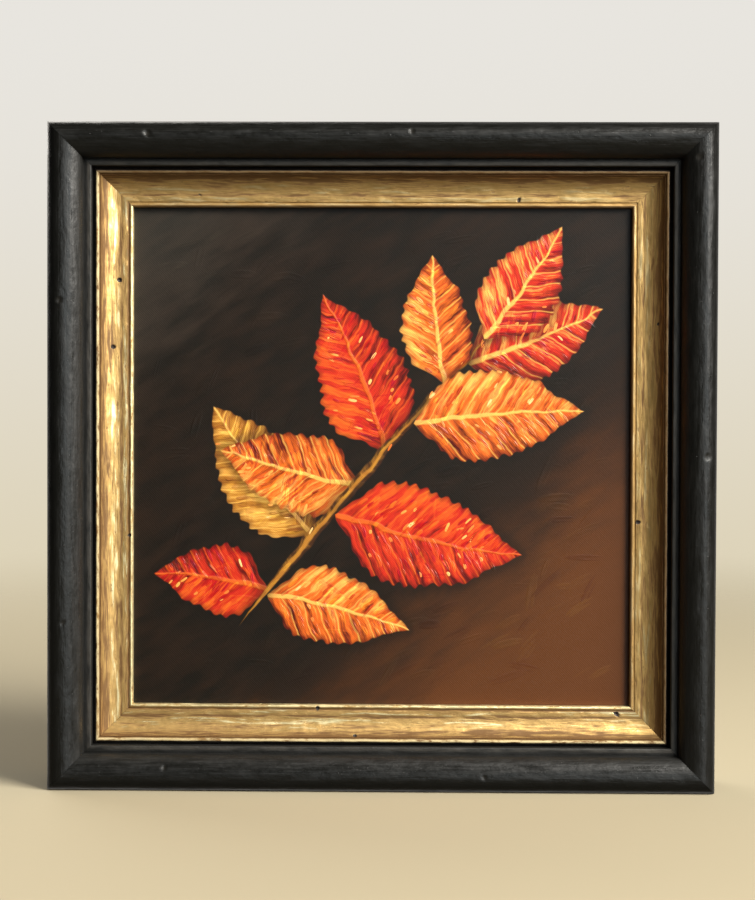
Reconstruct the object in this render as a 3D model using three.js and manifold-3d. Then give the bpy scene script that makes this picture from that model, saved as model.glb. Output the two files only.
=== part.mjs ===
// A square picture on stretched canvas, in a black moulded wooden frame with a gilt inner slip.
// Millimetres, +Z up. The picture faces -Y and the wall is on its +Y side. The origin is the middle
// notch of the toothed hanger, where a nail in the wall carries the picture.
//
// Every rail is described as the top one of its square: x runs along it, "inset" is the distance in
// from the frame's outer edge, and "height" is the distance forward from the frame's back plane.
import * as THREE from "three";
import { mergeVertices } from "three/addons/utils/BufferGeometryUtils.js";
import Module from "manifold-3d";

const wasm = await Module();
wasm.setup();

// Driving dimensions
const CANVAS_SIZE = 200; // a standard small square canvas
const SIGHT_OVERLAP = 3; // how far the slip laps over the canvas on each side
const SLIP_SHOWN = 14.1; // gilt width seen from the front, bead to sight edge
const RAIL_SHOWN = 17.9; // black width seen from the front, with the shadow gap
const FRAME_DEPTH = 35;
const CANVAS_DEPTH = 16.8; // stretched canvas, front of the cloth to back of its hem
const FIT_GAP = 0.3; // between pieces that touch
const ARC_STEPS = 5;

const SIGHT_SIZE = CANVAS_SIZE - 2 * SIGHT_OVERLAP;
const OUTER_SIZE = SIGHT_SIZE + 2 * (SLIP_SHOWN + RAIL_SHOWN);
const OUTER_HALF = OUTER_SIZE / 2;
const SIGHT_INSET = SLIP_SHOWN + RAIL_SHOWN;
const CANVAS_INSET = OUTER_HALF - CANVAS_SIZE / 2;

// Heights above the frame's back plane
const HEM_BACK = 0.2;
const CANVAS_FRONT = HEM_BACK + CANVAS_DEPTH;
const CLOTH_THICK = 0.6;
const BAR_BACK = HEM_BACK + CLOTH_THICK + FIT_GAP;
const BAR_FRONT = CANVAS_FRONT - CLOTH_THICK - FIT_GAP;
const SLIP_LIP_UNDER = CANVAS_FRONT + FIT_GAP;

// Black moulding: a lopsided hump, a quirk and a narrow fillet
const SHOULDER_HEIGHT = 28.5;
const CREST_INSET = 5.6;
const HUMP_FOOT = { inset: 13.9, height: 28.6 };
const FILLET = { inset: 14.1, height: 27.7, round: 0.6 };
const RAIL_LIP_INSET = RAIL_SHOWN - 1;
const RAIL_LIP_UNDER = 22.3;
const REBATE_INSET = 12.4;

// Gilt slip: a bead, a scoop, a flat and a small lip at the sight edge
const SLIP_BACK = 2.5;
const BEAD_RADIUS = 0.8;
const BEAD_HEIGHT = 25;
const SCOOP_START = RAIL_SHOWN + 2 * BEAD_RADIUS + 0.3;
const SCOOP_END = 28;
const SCOOP_CENTRE_HEIGHT = 26.6;
const SCOOP_RADII = { across: 8.6, deep: 6.4 };
const FLAT_END = { inset: 29.9, height: 20.1 };
const LIP = { start: 30.2, groove: 19.75, centre: 31.1, height: 20.2, edge: 19.2 };
const CANVAS_REBATE_INSET = CANVAS_INSET - 1;

// Stretcher, canvas hem and corner keys
const BAR_OUTER = CANVAS_SIZE / 2 - CLOTH_THICK - FIT_GAP;
const BAR_WIDTH = 30;
const BAR_RIDGE = 3; // flat strip that the cloth rests on
const BAR_BEVEL = 3; // how far the front falls away from the cloth
const BAR_INNER = BAR_OUTER - BAR_WIDTH;
const HEM_WIDTH = 12;
const KEY = { thick: 2.5, inside: 10, outside: 12, tip: 3, butt: 6.5 };
const KEY_LEVELS = { upright: 10.2, level: 5.2 }; // the two keys of a corner lie one above the other

// Fasteners and hanging plate
const PIN_GAP = 0.35; // between a shank and its hole
const V_NAIL = { apex: 4, leg: 5, thick: 0.5, tall: 8 };
const STAPLE = { crown: 10, wire: 0.7, width: 1.2, leg: 5, inset: 6, spread: 70 };
const CLIP = { length: 50, width: 10, thick: 1.2, start: 2, along: 55 };
const SCREW = { head: 3, headTall: 1.4, shank: 1.5, long: 10, slot: 0.7, slotDeep: 0.7 };
const SCREW_INSETS = [6.2, 46.5];
const HANGER = { length: 44, tall: 8, thick: 0.8, foot: 9, ramp: 3, standOff: 2.3, top: 2 };
const TEETH = { count: 9, pitch: 2.6, deep: 1.5 };
const NAIL = { head: 1.6, headTall: 0.6, shank: 0.7, long: 9 };
const PAD = { radius: 5, along: 108 };
const PIN_SIDES = 12;
const PAD_SIDES = 32;

const HANGER_BACK = FIT_GAP + HANGER.standOff + HANGER.thick;
const HANGER_BOTTOM = OUTER_HALF - HANGER.top - HANGER.tall;
const NOTCH_HEIGHT = HANGER_BOTTOM + TEETH.deep;

const finish = (color, roughness, metalness) =>
  new THREE.MeshStandardMaterial({ color, roughness, metalness });
const BLACK_LACQUER = finish(0x1b1a17, 0.4, 0);
const GILT = finish(0xb58a48, 0.4, 0.7);
const PINE = finish(0xd8b98a, 0.75, 0);
const BEECH = finish(0xc79a68, 0.7, 0);
const PAINTED_CANVAS = finish(0x4a2a1c, 0.5, 0);
const ZINC = finish(0xb4b6b8, 0.35, 1);
const BRASS = finish(0xc2a050, 0.35, 1);
const FELT = finish(0x3a2c22, 0.95, 0);

const SIDES = ["top", "right", "bottom", "left"];
const quarterTurns = (side) => (SIDES.indexOf(side) * Math.PI) / 2;

// Solids for joining and cutting

function solidOf(geometry) {
  const bare = geometry.clone();
  bare.deleteAttribute("normal");
  bare.deleteAttribute("uv");
  const merged = mergeVertices(bare, 1e-4);
  return new wasm.Manifold(
    new wasm.Mesh({
      numProp: 3,
      vertProperties: merged.attributes.position.array,
      triVerts: new Uint32Array(merged.index.array),
    }),
  );
}

function geometryOf(solid) {
  const { vertProperties, triVerts } = solid.getMesh();
  const geometry = new THREE.BufferGeometry();
  geometry.setAttribute("position", new THREE.BufferAttribute(vertProperties, 3));
  geometry.setIndex(new THREE.BufferAttribute(triVerts, 1));
  geometry.computeVertexNormals();
  return geometry;
}

function cut(geometry, cutters) {
  return geometryOf(cutters.reduce((body, cutter) => body.subtract(solidOf(cutter)), solidOf(geometry)));
}

// Basic shapes in the picture's own frame

function block(low, high) {
  const size = high.map((value, axis) => value - low[axis]);
  const middle = high.map((value, axis) => (value + low[axis]) / 2);
  return new THREE.BoxGeometry(...size).translate(...middle);
}

// A round pin along Y, from the first depth to the second.
function pin(radius, x, z, fromY, toY, sides = PIN_SIDES) {
  return new THREE.CylinderGeometry(radius, radius, toY - fromY, sides).translate(x, (fromY + toY) / 2, z);
}

function outline(points) {
  return new THREE.Shape(points.map(([x, y]) => new THREE.Vector2(x, y)));
}

// A flat outline drawn in x and z, standing from the first depth to the second.
function plate(points, fromY, toY) {
  const geometry = new THREE.ExtrudeGeometry(outline(points), { depth: toY - fromY, bevelEnabled: false });
  return geometry.rotateX(Math.PI / 2).translate(0, toY, 0);
}

// A top rail whose ends are cut at 45 degrees: every point's reach along x shrinks by its own inset.
function mitredRail(profile, outerHalf) {
  const geometry = new THREE.ExtrudeGeometry(profile, {
    depth: 1,
    bevelEnabled: false,
    curveSegments: ARC_STEPS,
  });
  const points = geometry.attributes.position;
  for (let i = 0; i < points.count; i++) {
    const inset = points.getX(i);
    const height = points.getY(i);
    const reach = outerHalf - inset - FIT_GAP / 2;
    points.setXYZ(i, points.getZ(i) > 0.5 ? -reach : reach, -height, outerHalf - inset);
  }
  return geometry;
}

function part(name, geometry, material, side = "top") {
  const mesh = new THREE.Mesh(geometry, material);
  mesh.name = name;
  mesh.rotation.y = quarterTurns(side);
  return mesh;
}

// Frame rails

function railProfile() {
  const shape = new THREE.Shape();
  shape.moveTo(0, 0);
  shape.lineTo(0, SHOULDER_HEIGHT);
  const rise = FRAME_DEPTH - SHOULDER_HEIGHT;
  shape.absellipse(CREST_INSET, SHOULDER_HEIGHT, CREST_INSET, rise, Math.PI, Math.PI / 2, true);
  const flank = HUMP_FOOT.inset - CREST_INSET;
  const fall = FRAME_DEPTH - HUMP_FOOT.height;
  shape.absellipse(CREST_INSET, HUMP_FOOT.height, flank, fall, Math.PI / 2, 0, true);
  shape.lineTo(FILLET.inset, FILLET.height);
  const roundInset = RAIL_LIP_INSET - FILLET.round;
  const roundHeight = FILLET.height - FILLET.round;
  shape.absarc(roundInset, roundHeight, FILLET.round, Math.PI / 2, 0, true);
  shape.lineTo(RAIL_LIP_INSET, RAIL_LIP_UNDER);
  shape.lineTo(REBATE_INSET, RAIL_LIP_UNDER);
  shape.lineTo(REBATE_INSET, 0);
  shape.closePath();
  return shape;
}

// A steel angle driven into the back of a mitre, one leg in each rail. hand is -1 at the left end.
function vNail(hand, spare) {
  const corner = OUTER_HALF - V_NAIL.apex;
  const half = V_NAIL.thick / 2 + spare;
  const reach = V_NAIL.leg + spare;
  const points = [
    [corner + half, corner + half],
    [corner - reach, corner + half],
    [corner - reach, corner - half],
    [corner - half, corner - half],
    [corner - half, corner - reach],
    [corner + half, corner - reach],
  ];
  const placed = hand > 0 ? points : points.map(([x, z]) => [-x, z]);
  return plate(placed, -V_NAIL.tall - spare, spare > 0 ? spare : -FIT_GAP);
}

const clipScrewHole = (hand, inset) =>
  pin(SCREW.shank + PIN_GAP, hand * CLIP.along, OUTER_HALF - inset, -SCREW.long - PIN_GAP, CLIP.thick * 2);

const hangerNailHole = (hand) =>
  pin(NAIL.shank + PIN_GAP, hand * nailAlong(), nailHeight(), -NAIL.long - PIN_GAP, HANGER_BACK);

function nailAlong() {
  return HANGER.length / 2 - HANGER.foot / 2;
}

function nailHeight() {
  return HANGER_BOTTOM + HANGER.tall / 2;
}

const isUpright = (side) => side === "left" || side === "right";
const bothEnds = (make) => [make(-1), make(1)];

function frameRail(side) {
  const cutters = bothEnds((hand) => vNail(hand, PIN_GAP));
  if (isUpright(side)) cutters.push(...bothEnds((hand) => clipScrewHole(hand, SCREW_INSETS[0])));
  if (side === "top") cutters.push(...bothEnds(hangerNailHole));
  return part(`rail_${side}`, cut(mitredRail(railProfile(), OUTER_HALF), cutters), BLACK_LACQUER, side);
}

// Gilt slip

function slipProfile() {
  const outer = REBATE_INSET + FIT_GAP;
  const hiddenTop = RAIL_LIP_UNDER - FIT_GAP;
  const shape = new THREE.Shape();
  shape.moveTo(outer, SLIP_BACK);
  shape.lineTo(outer, hiddenTop);
  shape.lineTo(RAIL_SHOWN, hiddenTop);
  shape.absarc(RAIL_SHOWN + BEAD_RADIUS, BEAD_HEIGHT, BEAD_RADIUS, Math.PI, 0, true);
  const startAngle = Math.acos((SCOOP_START - SCOOP_END) / SCOOP_RADII.across);
  shape.absellipse(
    SCOOP_END,
    SCOOP_CENTRE_HEIGHT,
    SCOOP_RADII.across,
    SCOOP_RADII.deep,
    2 * Math.PI - startAngle,
    1.5 * Math.PI,
    false,
  );
  shape.lineTo(FLAT_END.inset, FLAT_END.height);
  shape.lineTo(LIP.start, LIP.groove);
  shape.lineTo(LIP.centre, LIP.height);
  shape.quadraticCurveTo(SIGHT_INSET, LIP.height, SIGHT_INSET, LIP.edge);
  shape.lineTo(SIGHT_INSET, SLIP_LIP_UNDER);
  shape.lineTo(CANVAS_REBATE_INSET, SLIP_LIP_UNDER);
  shape.lineTo(CANVAS_REBATE_INSET, SLIP_BACK);
  shape.closePath();
  return shape;
}

const slipRail = (side) => part(`slip_${side}`, mitredRail(slipProfile(), OUTER_HALF), GILT, side);

// Stretcher, keys, canvas and staples

function barProfile() {
  return outline([
    [0, BAR_BACK],
    [0, BAR_FRONT],
    [BAR_RIDGE, BAR_FRONT],
    [BAR_WIDTH, BAR_FRONT - BAR_BEVEL],
    [BAR_WIDTH, BAR_BACK],
  ]);
}

const keyLevel = (side) => (isUpright(side) ? KEY_LEVELS.level : KEY_LEVELS.upright);

// A wedge beside the neighbouring bar, its tip pushed into this bar's slot.
function key(side, hand) {
  const edge = BAR_INNER - FIT_GAP;
  const points = [
    [hand * edge, BAR_INNER + KEY.inside],
    [hand * (edge - KEY.tip), BAR_INNER + KEY.inside],
    [hand * (edge - KEY.butt), BAR_INNER - KEY.outside],
    [hand * edge, BAR_INNER - KEY.outside],
  ];
  const level = keyLevel(side);
  return plate(points, -level - KEY.thick / 2, -level + KEY.thick / 2);
}

function keySlot(side, hand) {
  const level = keyLevel(side);
  const half = KEY.thick / 2 + FIT_GAP;
  const ends = [hand * (BAR_INNER + FIT_GAP), hand * (BAR_INNER - KEY.butt - FIT_GAP)].sort((a, b) => a - b);
  return block(
    [ends[0], -level - half, BAR_INNER - 1],
    [ends[1], -level + half, BAR_INNER + KEY.inside + FIT_GAP],
  );
}

// A wire staple over the canvas hem, legs forward into the bar.
function staple(along, spare) {
  const half = STAPLE.crown / 2;
  const wire = STAPLE.wire;
  const back = -HEM_BACK + FIT_GAP;
  const tip = back - STAPLE.leg - spare;
  const crownFront = spare > 0 ? back + 1 : back;
  const section = outline([
    [along - half - spare, tip],
    [along - half + wire + spare, tip],
    [along - half + wire + spare, crownFront],
    [along + half - wire - spare, crownFront],
    [along + half - wire - spare, tip],
    [along + half + spare, tip],
    [along + half + spare, back + wire + (spare > 0 ? 1 : 0)],
    [along - half - spare, back + wire + (spare > 0 ? 1 : 0)],
  ]);
  const width = STAPLE.width + 2 * spare;
  const middle = CANVAS_SIZE / 2 - STAPLE.inset;
  const geometry = new THREE.ExtrudeGeometry(section, { depth: width, bevelEnabled: false });
  return geometry.translate(0, 0, middle - width / 2);
}

const stapleSpots = [-STAPLE.spread, 0, STAPLE.spread];

function stretcherBar(side) {
  const cutters = [
    ...bothEnds((hand) => keySlot(side, hand)),
    ...stapleSpots.map((along) => staple(along, PIN_GAP)),
  ];
  if (isUpright(side)) cutters.push(...bothEnds((hand) => clipScrewHole(hand, SCREW_INSETS[1])));
  return part(`stretcher_${side}`, cut(mitredRail(barProfile(), BAR_OUTER), cutters), PINE, side);
}

// The cloth: a flat front, four turned sides and a hem on the back, one sheet.
function canvas() {
  const half = CANVAS_SIZE / 2;
  const inside = half - CLOTH_THICK;
  const window = half - HEM_WIDTH;
  const sheet = block([-half, -CANVAS_FRONT, -half], [half, -HEM_BACK, half]);
  const hollow = block(
    [-inside, -CANVAS_FRONT + CLOTH_THICK, -inside],
    [inside, -HEM_BACK - CLOTH_THICK, inside],
  );
  const opening = block([-window, -CANVAS_DEPTH / 2, -window], [window, 1, window]);
  const slots = SIDES.flatMap((side) =>
    stapleSpots.map((along) => staple(along, PIN_GAP).rotateY(quarterTurns(side))),
  );
  return part("canvas", cut(sheet, [hollow, opening, ...slots]), PAINTED_CANVAS);
}

// Hardware on the back

function clip(hand) {
  const nearEdge = OUTER_HALF - CLIP.start;
  const strip = block(
    [hand * CLIP.along - CLIP.width / 2, FIT_GAP, nearEdge - CLIP.length],
    [hand * CLIP.along + CLIP.width / 2, FIT_GAP + CLIP.thick, nearEdge],
  );
  return cut(strip, SCREW_INSETS.map((inset) => clipScrewHole(hand, inset)));
}

// A pan-head screw with a cross slot, driven forward from the clip's back face.
function screw(hand, inset) {
  const seat = CLIP.thick + 2 * FIT_GAP;
  const top = seat + SCREW.headTall;
  const profile = [
    new THREE.Vector2(0, -SCREW.long),
    new THREE.Vector2(SCREW.shank * 0.6, -SCREW.long + SCREW.shank),
    new THREE.Vector2(SCREW.shank, -SCREW.long + 3 * SCREW.shank),
    new THREE.Vector2(SCREW.shank, seat),
    new THREE.Vector2(SCREW.head, seat),
    new THREE.Vector2(SCREW.head, seat + SCREW.headTall * 0.4),
    new THREE.Vector2(SCREW.head * 0.7, top),
    new THREE.Vector2(0, top),
  ];
  const body = new THREE.LatheGeometry(profile, PIN_SIDES);
  const slot = SCREW.slot / 2;
  const arm = SCREW.head * 0.6;
  const floor = top - SCREW.slotDeep;
  const slots = [
    block([-arm, floor, -slot], [arm, top + 1, slot]),
    block([-slot, floor, -arm], [slot, top + 1, arm]),
  ];
  return cut(body, slots).translate(hand * CLIP.along, 0, OUTER_HALF - inset);
}

// A sheet-metal strip with two feet on the rail and a raised, toothed middle that a nail head hooks behind.
function hanger() {
  const half = HANGER.length / 2;
  const footEnd = half - HANGER.foot;
  const flatEnd = footEnd - HANGER.ramp;
  const low = FIT_GAP;
  const high = FIT_GAP + HANGER.standOff;
  const under = [
    [-half, low],
    [-footEnd, low],
    [-flatEnd, high],
    [flatEnd, high],
    [footEnd, low],
    [half, low],
  ];
  const over = under.map(([x, y]) => [x, y + HANGER.thick]).reverse();
  const strip = new THREE.ExtrudeGeometry(outline([...under, ...over]), {
    depth: HANGER.tall,
    bevelEnabled: false,
  }).translate(0, 0, HANGER_BOTTOM);
  const notches = Array.from({ length: TEETH.count }, (_, i) => {
    const x = (i - (TEETH.count - 1) / 2) * TEETH.pitch;
    const side = TEETH.pitch / 2 - 0.15;
    const notch = [
      [x - side, HANGER_BOTTOM - 1],
      [x + side, HANGER_BOTTOM - 1],
      [x + side, HANGER_BOTTOM],
      [x, NOTCH_HEIGHT],
      [x - side, HANGER_BOTTOM],
    ];
    return plate(notch, high - 1, HANGER_BACK + 1);
  });
  return part("hanger", cut(strip, [...notches, ...bothEnds(hangerNailHole)]), BRASS);
}

function hangerNail(hand) {
  const seat = HANGER.thick + 2 * FIT_GAP;
  const profile = [
    new THREE.Vector2(0, -NAIL.long),
    new THREE.Vector2(NAIL.shank, -NAIL.long + 2 * NAIL.shank),
    new THREE.Vector2(NAIL.shank, seat),
    new THREE.Vector2(NAIL.head, seat),
    new THREE.Vector2(NAIL.head * 0.8, seat + NAIL.headTall),
    new THREE.Vector2(0, seat + NAIL.headTall),
  ];
  return new THREE.LatheGeometry(profile, PIN_SIDES).translate(hand * nailAlong(), 0, nailHeight());
}

function feltPad(hand) {
  const height = -OUTER_HALF + REBATE_INSET / 2;
  return pin(PAD.radius, hand * PAD.along, height, FIT_GAP, HANGER_BACK, PAD_SIDES);
}

// The whole picture, built about the centre of the frame's back plane and hung by its notch.
const picture = new THREE.Group();
picture.position.set(0, -HANGER_BACK, -NOTCH_HEIGHT);

SIDES.forEach((side) => {
  picture.add(frameRail(side), slipRail(side), stretcherBar(side));
  picture.add(part(`mitre_nail_${side}`, vNail(-1, 0), ZINC, side));
  [-1, 1].forEach((hand, end) => {
    picture.add(part(`key_${side}_${end + 1}`, key(side, hand), BEECH, side));
  });
  stapleSpots.forEach((along, spot) => {
    picture.add(part(`staple_${side}_${spot + 1}`, staple(along, 0), ZINC, side));
  });
});
picture.add(canvas(), hanger());

["left", "right"].forEach((side) => {
  [-1, 1].forEach((hand, end) => {
    picture.add(part(`clip_${side}_${end + 1}`, clip(hand), ZINC, side));
    SCREW_INSETS.forEach((inset, spot) => {
      const name = `screw_${side}_${end + 1}_${["rail", "bar"][spot]}`;
      picture.add(part(name, screw(hand, inset), ZINC, side));
    });
  });
});

[-1, 1].forEach((hand, end) => {
  picture.add(part(`hanger_nail_${end + 1}`, hangerNail(hand), BRASS));
  picture.add(part(`felt_pad_${["left", "right"][end]}`, feltPad(hand), FELT));
});

const framedPicture = new THREE.Group();
framedPicture.add(picture);

export default framedPicture;
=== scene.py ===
"""Dresses the framed canvas picture: black moulded rails, gilt slip, painted canvas and the back's hardware.

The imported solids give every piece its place. Lengths are in metres, +Z is up and the picture faces -Y.
Sections of the mouldings are drawn in millimetres, by inset from the frame's outer edge and by height
forward of its back plane, as the top rail of the square.
"""

import math
import random
from collections import namedtuple

import bmesh
import bpy
from bpy.props import FloatProperty, FloatVectorProperty, IntProperty, PointerProperty
from bpy.types import Operator, Panel, PropertyGroup
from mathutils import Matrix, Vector


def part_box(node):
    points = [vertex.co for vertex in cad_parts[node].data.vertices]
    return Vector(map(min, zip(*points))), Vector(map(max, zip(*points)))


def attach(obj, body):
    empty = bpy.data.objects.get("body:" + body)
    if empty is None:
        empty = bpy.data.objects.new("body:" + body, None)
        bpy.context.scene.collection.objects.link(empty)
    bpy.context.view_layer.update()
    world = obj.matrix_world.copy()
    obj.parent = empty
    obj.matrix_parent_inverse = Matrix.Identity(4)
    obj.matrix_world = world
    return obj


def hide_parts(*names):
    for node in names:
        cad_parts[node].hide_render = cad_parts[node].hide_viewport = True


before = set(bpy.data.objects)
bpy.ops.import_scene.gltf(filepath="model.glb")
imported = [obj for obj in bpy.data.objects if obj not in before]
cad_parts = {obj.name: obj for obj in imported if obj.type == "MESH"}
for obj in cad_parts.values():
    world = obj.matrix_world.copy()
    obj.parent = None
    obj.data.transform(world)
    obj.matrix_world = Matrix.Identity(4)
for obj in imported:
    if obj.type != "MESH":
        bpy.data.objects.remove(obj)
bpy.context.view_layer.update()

bl_info = {
    "name": "Framed canvas picture",
    "version": (1, 0, 0),
    "blender": (4, 5, 0),
    "location": "3D View > Sidebar > Picture",
    "description": "Builds a square picture on stretched canvas in a black and gilt frame",
    "category": "Object",
}

MM = 0.001
IN_MILLIMETRES = (1 / MM, 1 / MM, 1 / MM)
SIDES = ("top", "right", "bottom", "left")
ENDS = (1, 2)

# Places read from the solids
FRAME_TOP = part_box("rail_top")[1].z
FRAME_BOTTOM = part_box("rail_bottom")[0].z
CENTRE_HEIGHT = (FRAME_TOP + FRAME_BOTTOM) / 2
BACK_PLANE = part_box("rail_top")[1].y
CANVAS_LOW, CANVAS_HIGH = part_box("canvas")

# Lines of the mouldings, in millimetres in from the frame's outer edge
FILLET_INSET = 15.9
BEAD_INSET = 18.7
QUIRK_INSET = 19.75
SCOOP_FOOT_INSET = 27.4
GROOVE_INSET = 30.15
LIP_INSET = 30.7

# Node kinds that the trees use most
MATH = "ShaderNodeMath"
VECTOR_MATH = "ShaderNodeVectorMath"
NOISE = "ShaderNodeTexNoise"
MIX = "ShaderNodeMix"
RANGE = "ShaderNodeMapRange"
ATTRIBUTE = "ShaderNodeAttribute"
MAPPING = "ShaderNodeMapping"
BUMP = "ShaderNodeBump"
NAMED = "GeometryNodeInputNamedAttribute"
STORE = "GeometryNodeStoreNamedAttribute"
COMBINE = "ShaderNodeCombineXYZ"
SPLIT = "ShaderNodeSeparateXYZ"
COORDINATES = "ShaderNodeTexCoord"
PRINCIPLED = "ShaderNodeBsdfPrincipled"
SURFACE = "ShaderNodeOutputMaterial"


def linear(code):
    """An sRGB hex colour as linear RGBA."""
    channels = [int(code[i : i + 2], 16) / 255 for i in (1, 3, 5)]
    bright = [c / 12.92 if c <= 0.04045 else ((c + 0.055) / 1.055) ** 2.4 for c in channels]
    return (*bright, 1.0)


def length_value(name, description, default):
    """A length in metres that a user may change."""
    return FloatProperty(
        name=name, description=description, default=default, min=0.0, unit="LENGTH", precision=5
    )


def count_value(name, description, default):
    """A number of divisions that a user may change."""
    return IntProperty(name=name, description=description, default=default, min=20)


def light_value(name, description, default):
    """A strength of light that a user may change."""
    return FloatProperty(name=name, description=description, default=default, min=0.0)


def colour_value(name, description, code):
    """A colour that a user may change, from its sRGB hex value."""
    return FloatVectorProperty(
        name=name, description=description, default=linear(code), size=4, min=0.0, max=1.0, subtype="COLOR"
    )


class PictureSizes(PropertyGroup):
    """Sizes of the visible pieces"""

    outer_half: length_value("Outer half", "Half the frame's outer size", (FRAME_TOP - FRAME_BOTTOM) / 2)
    mitre_gap: length_value("Mitre gap", "Hairline between two rails at a corner", 0.0001)
    rail_wave: length_value("Rail unevenness", "How far the black face wanders from a true line", 0.0004)
    slip_wave: length_value("Slip unevenness", "How far the gilt face wanders from a true line", 0.0005)
    thread_pitch: length_value("Thread pitch", "Distance between threads of the canvas", 0.0009)
    cloth_sag: length_value("Canvas slack", "How far the middle of the canvas lies back", 0.0003)
    edge_round: length_value("Edge rounding", "Rounding of the stretcher's edges", 0.0007)
    rail_steps: count_value("Rail steps", "Divisions along a black rail", 430)
    slip_steps: count_value("Slip steps", "Divisions along a gilt slip", 600)


class FinishColours(PropertyGroup):
    """Colours of the frame and its hardware"""

    black: colour_value("Black", "Lacquer on the outer moulding", "#0d0d0b")
    # Worn black also paints a highlight along the fillet
    black_wear_and_highlight: colour_value("Worn black", "Lacquer rubbed thin on edges", "#332f29")
    gold: colour_value("Gold", "Leaf on the slip", "#caa668")
    # Pale gold also paints the highlights on the lit beads and lips
    pale_gold: colour_value("Pale gold", "Leaf polished on bead, lip and high streaks", "#f6e7b4")
    bole: colour_value("Bole", "Brown ground under the leaf", "#58391a")
    raw_wood: colour_value("Raw wood", "Unfinished back of the mouldings", "#c9a878")
    pine: colour_value("Pine", "Stretcher bars", "#dcbd8c")
    pine_grain: colour_value("Pine grain", "Late wood in the bars", "#b5844c")
    beech: colour_value("Beech", "Corner keys", "#cda172")
    cotton: colour_value("Cotton", "Bare back of the canvas", "#cfc4aa")
    zinc: colour_value("Zinc", "Plating on strips, screws and staples", "#b9bcbe")
    brass: colour_value("Brass", "Plating on the hanging plate", "#c8a655")
    felt: colour_value("Felt", "Pads at the lower corners", "#43342a")


class PaintColours(PropertyGroup):
    """Colours of the picture"""

    dark: colour_value("Dark ground", "Umber that most of the ground is laid in", "#14100b")
    warm: colour_value("Warm ground", "Brown glow in the lower right", "#5c3417")
    pale: colour_value("Pale ground", "Cool grey light in the upper left", "#8a877d")
    crimson: colour_value("Crimson", "Shadow side of the leaves", "#4a0b08")
    scarlet: colour_value("Scarlet", "Body of the red leaves", "#bd2a16")
    orange: colour_value("Orange", "Body of the turning leaves", "#d05e1c")
    ochre: colour_value("Ochre", "Body of the dry leaves", "#b07628")
    straw: colour_value("Straw", "Lit side of the leaves", "#eab256")
    stem: colour_value("Stem", "Twig that carries the leaves", "#3e2412")


class StageSettings(PropertyGroup):
    """Light and floor"""

    key_power: light_value("Key light", "Power of the soft light, in watts", 94.0)
    back_power: light_value("Back light", "Power of the light behind, in watts", 20.0)
    sky_bright: light_value("Sky, lit side", "Soft light from the upper right", 0.45)
    sky_dim: light_value("Sky, dark side", "Soft light from elsewhere", 0.04)
    sky_back: light_value("Sky, behind", "Soft light on the picture's back", 0.5)
    window: light_value("Window", "Bright patch low on the right", 1.9)
    backdrop: colour_value("Backdrop, high", "Pale tone behind the picture, at the top", "#e8e5df")
    backdrop_low: colour_value("Backdrop, low", "Pale tone behind the picture, at the bottom", "#dacdab")
    floor: colour_value("Floor", "Pale paper under the picture", "#a0967d")


def sizes():
    """The sizes that the scene holds now."""
    return bpy.context.scene.picture_sizes


def finishes():
    """The frame's colours that the scene holds now."""
    return bpy.context.scene.picture_finishes


def paints():
    """The picture's colours that the scene holds now."""
    return bpy.context.scene.picture_paints


def add(tree, kind, inputs=None, out=0, **settings):
    """Adds a node and returns one of its outputs. Inputs go by name or number: a value or another output."""
    made = tree.nodes.new(kind)
    for name, value in settings.items():
        setattr(made, name, value)
    for key, value in (inputs or {}).items():
        if isinstance(value, bpy.types.NodeSocket):
            tree.links.new(value, made.inputs[key])
        else:
            made.inputs[key].default_value = value
    return made.outputs[out] if len(made.outputs) else None


def new_finish(name):
    """An empty node material and its tree."""
    material = bpy.data.materials.new(name)
    material.use_nodes = True
    material.node_tree.nodes.clear()
    return material, material.node_tree


# Finishes of the frame


def band(tree, inset, middle, outer, inner, most=1.0):
    """A band along a moulding: full within inner of its middle line, none beyond outer, in millimetres."""
    way = add(tree, MATH, {0: inset, 1: middle}, operation="SUBTRACT")
    far = add(tree, MATH, {0: way}, operation="ABSOLUTE")
    return add(tree, RANGE, {"Value": far, "From Min": outer, "From Max": inner, "To Max": most})


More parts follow.
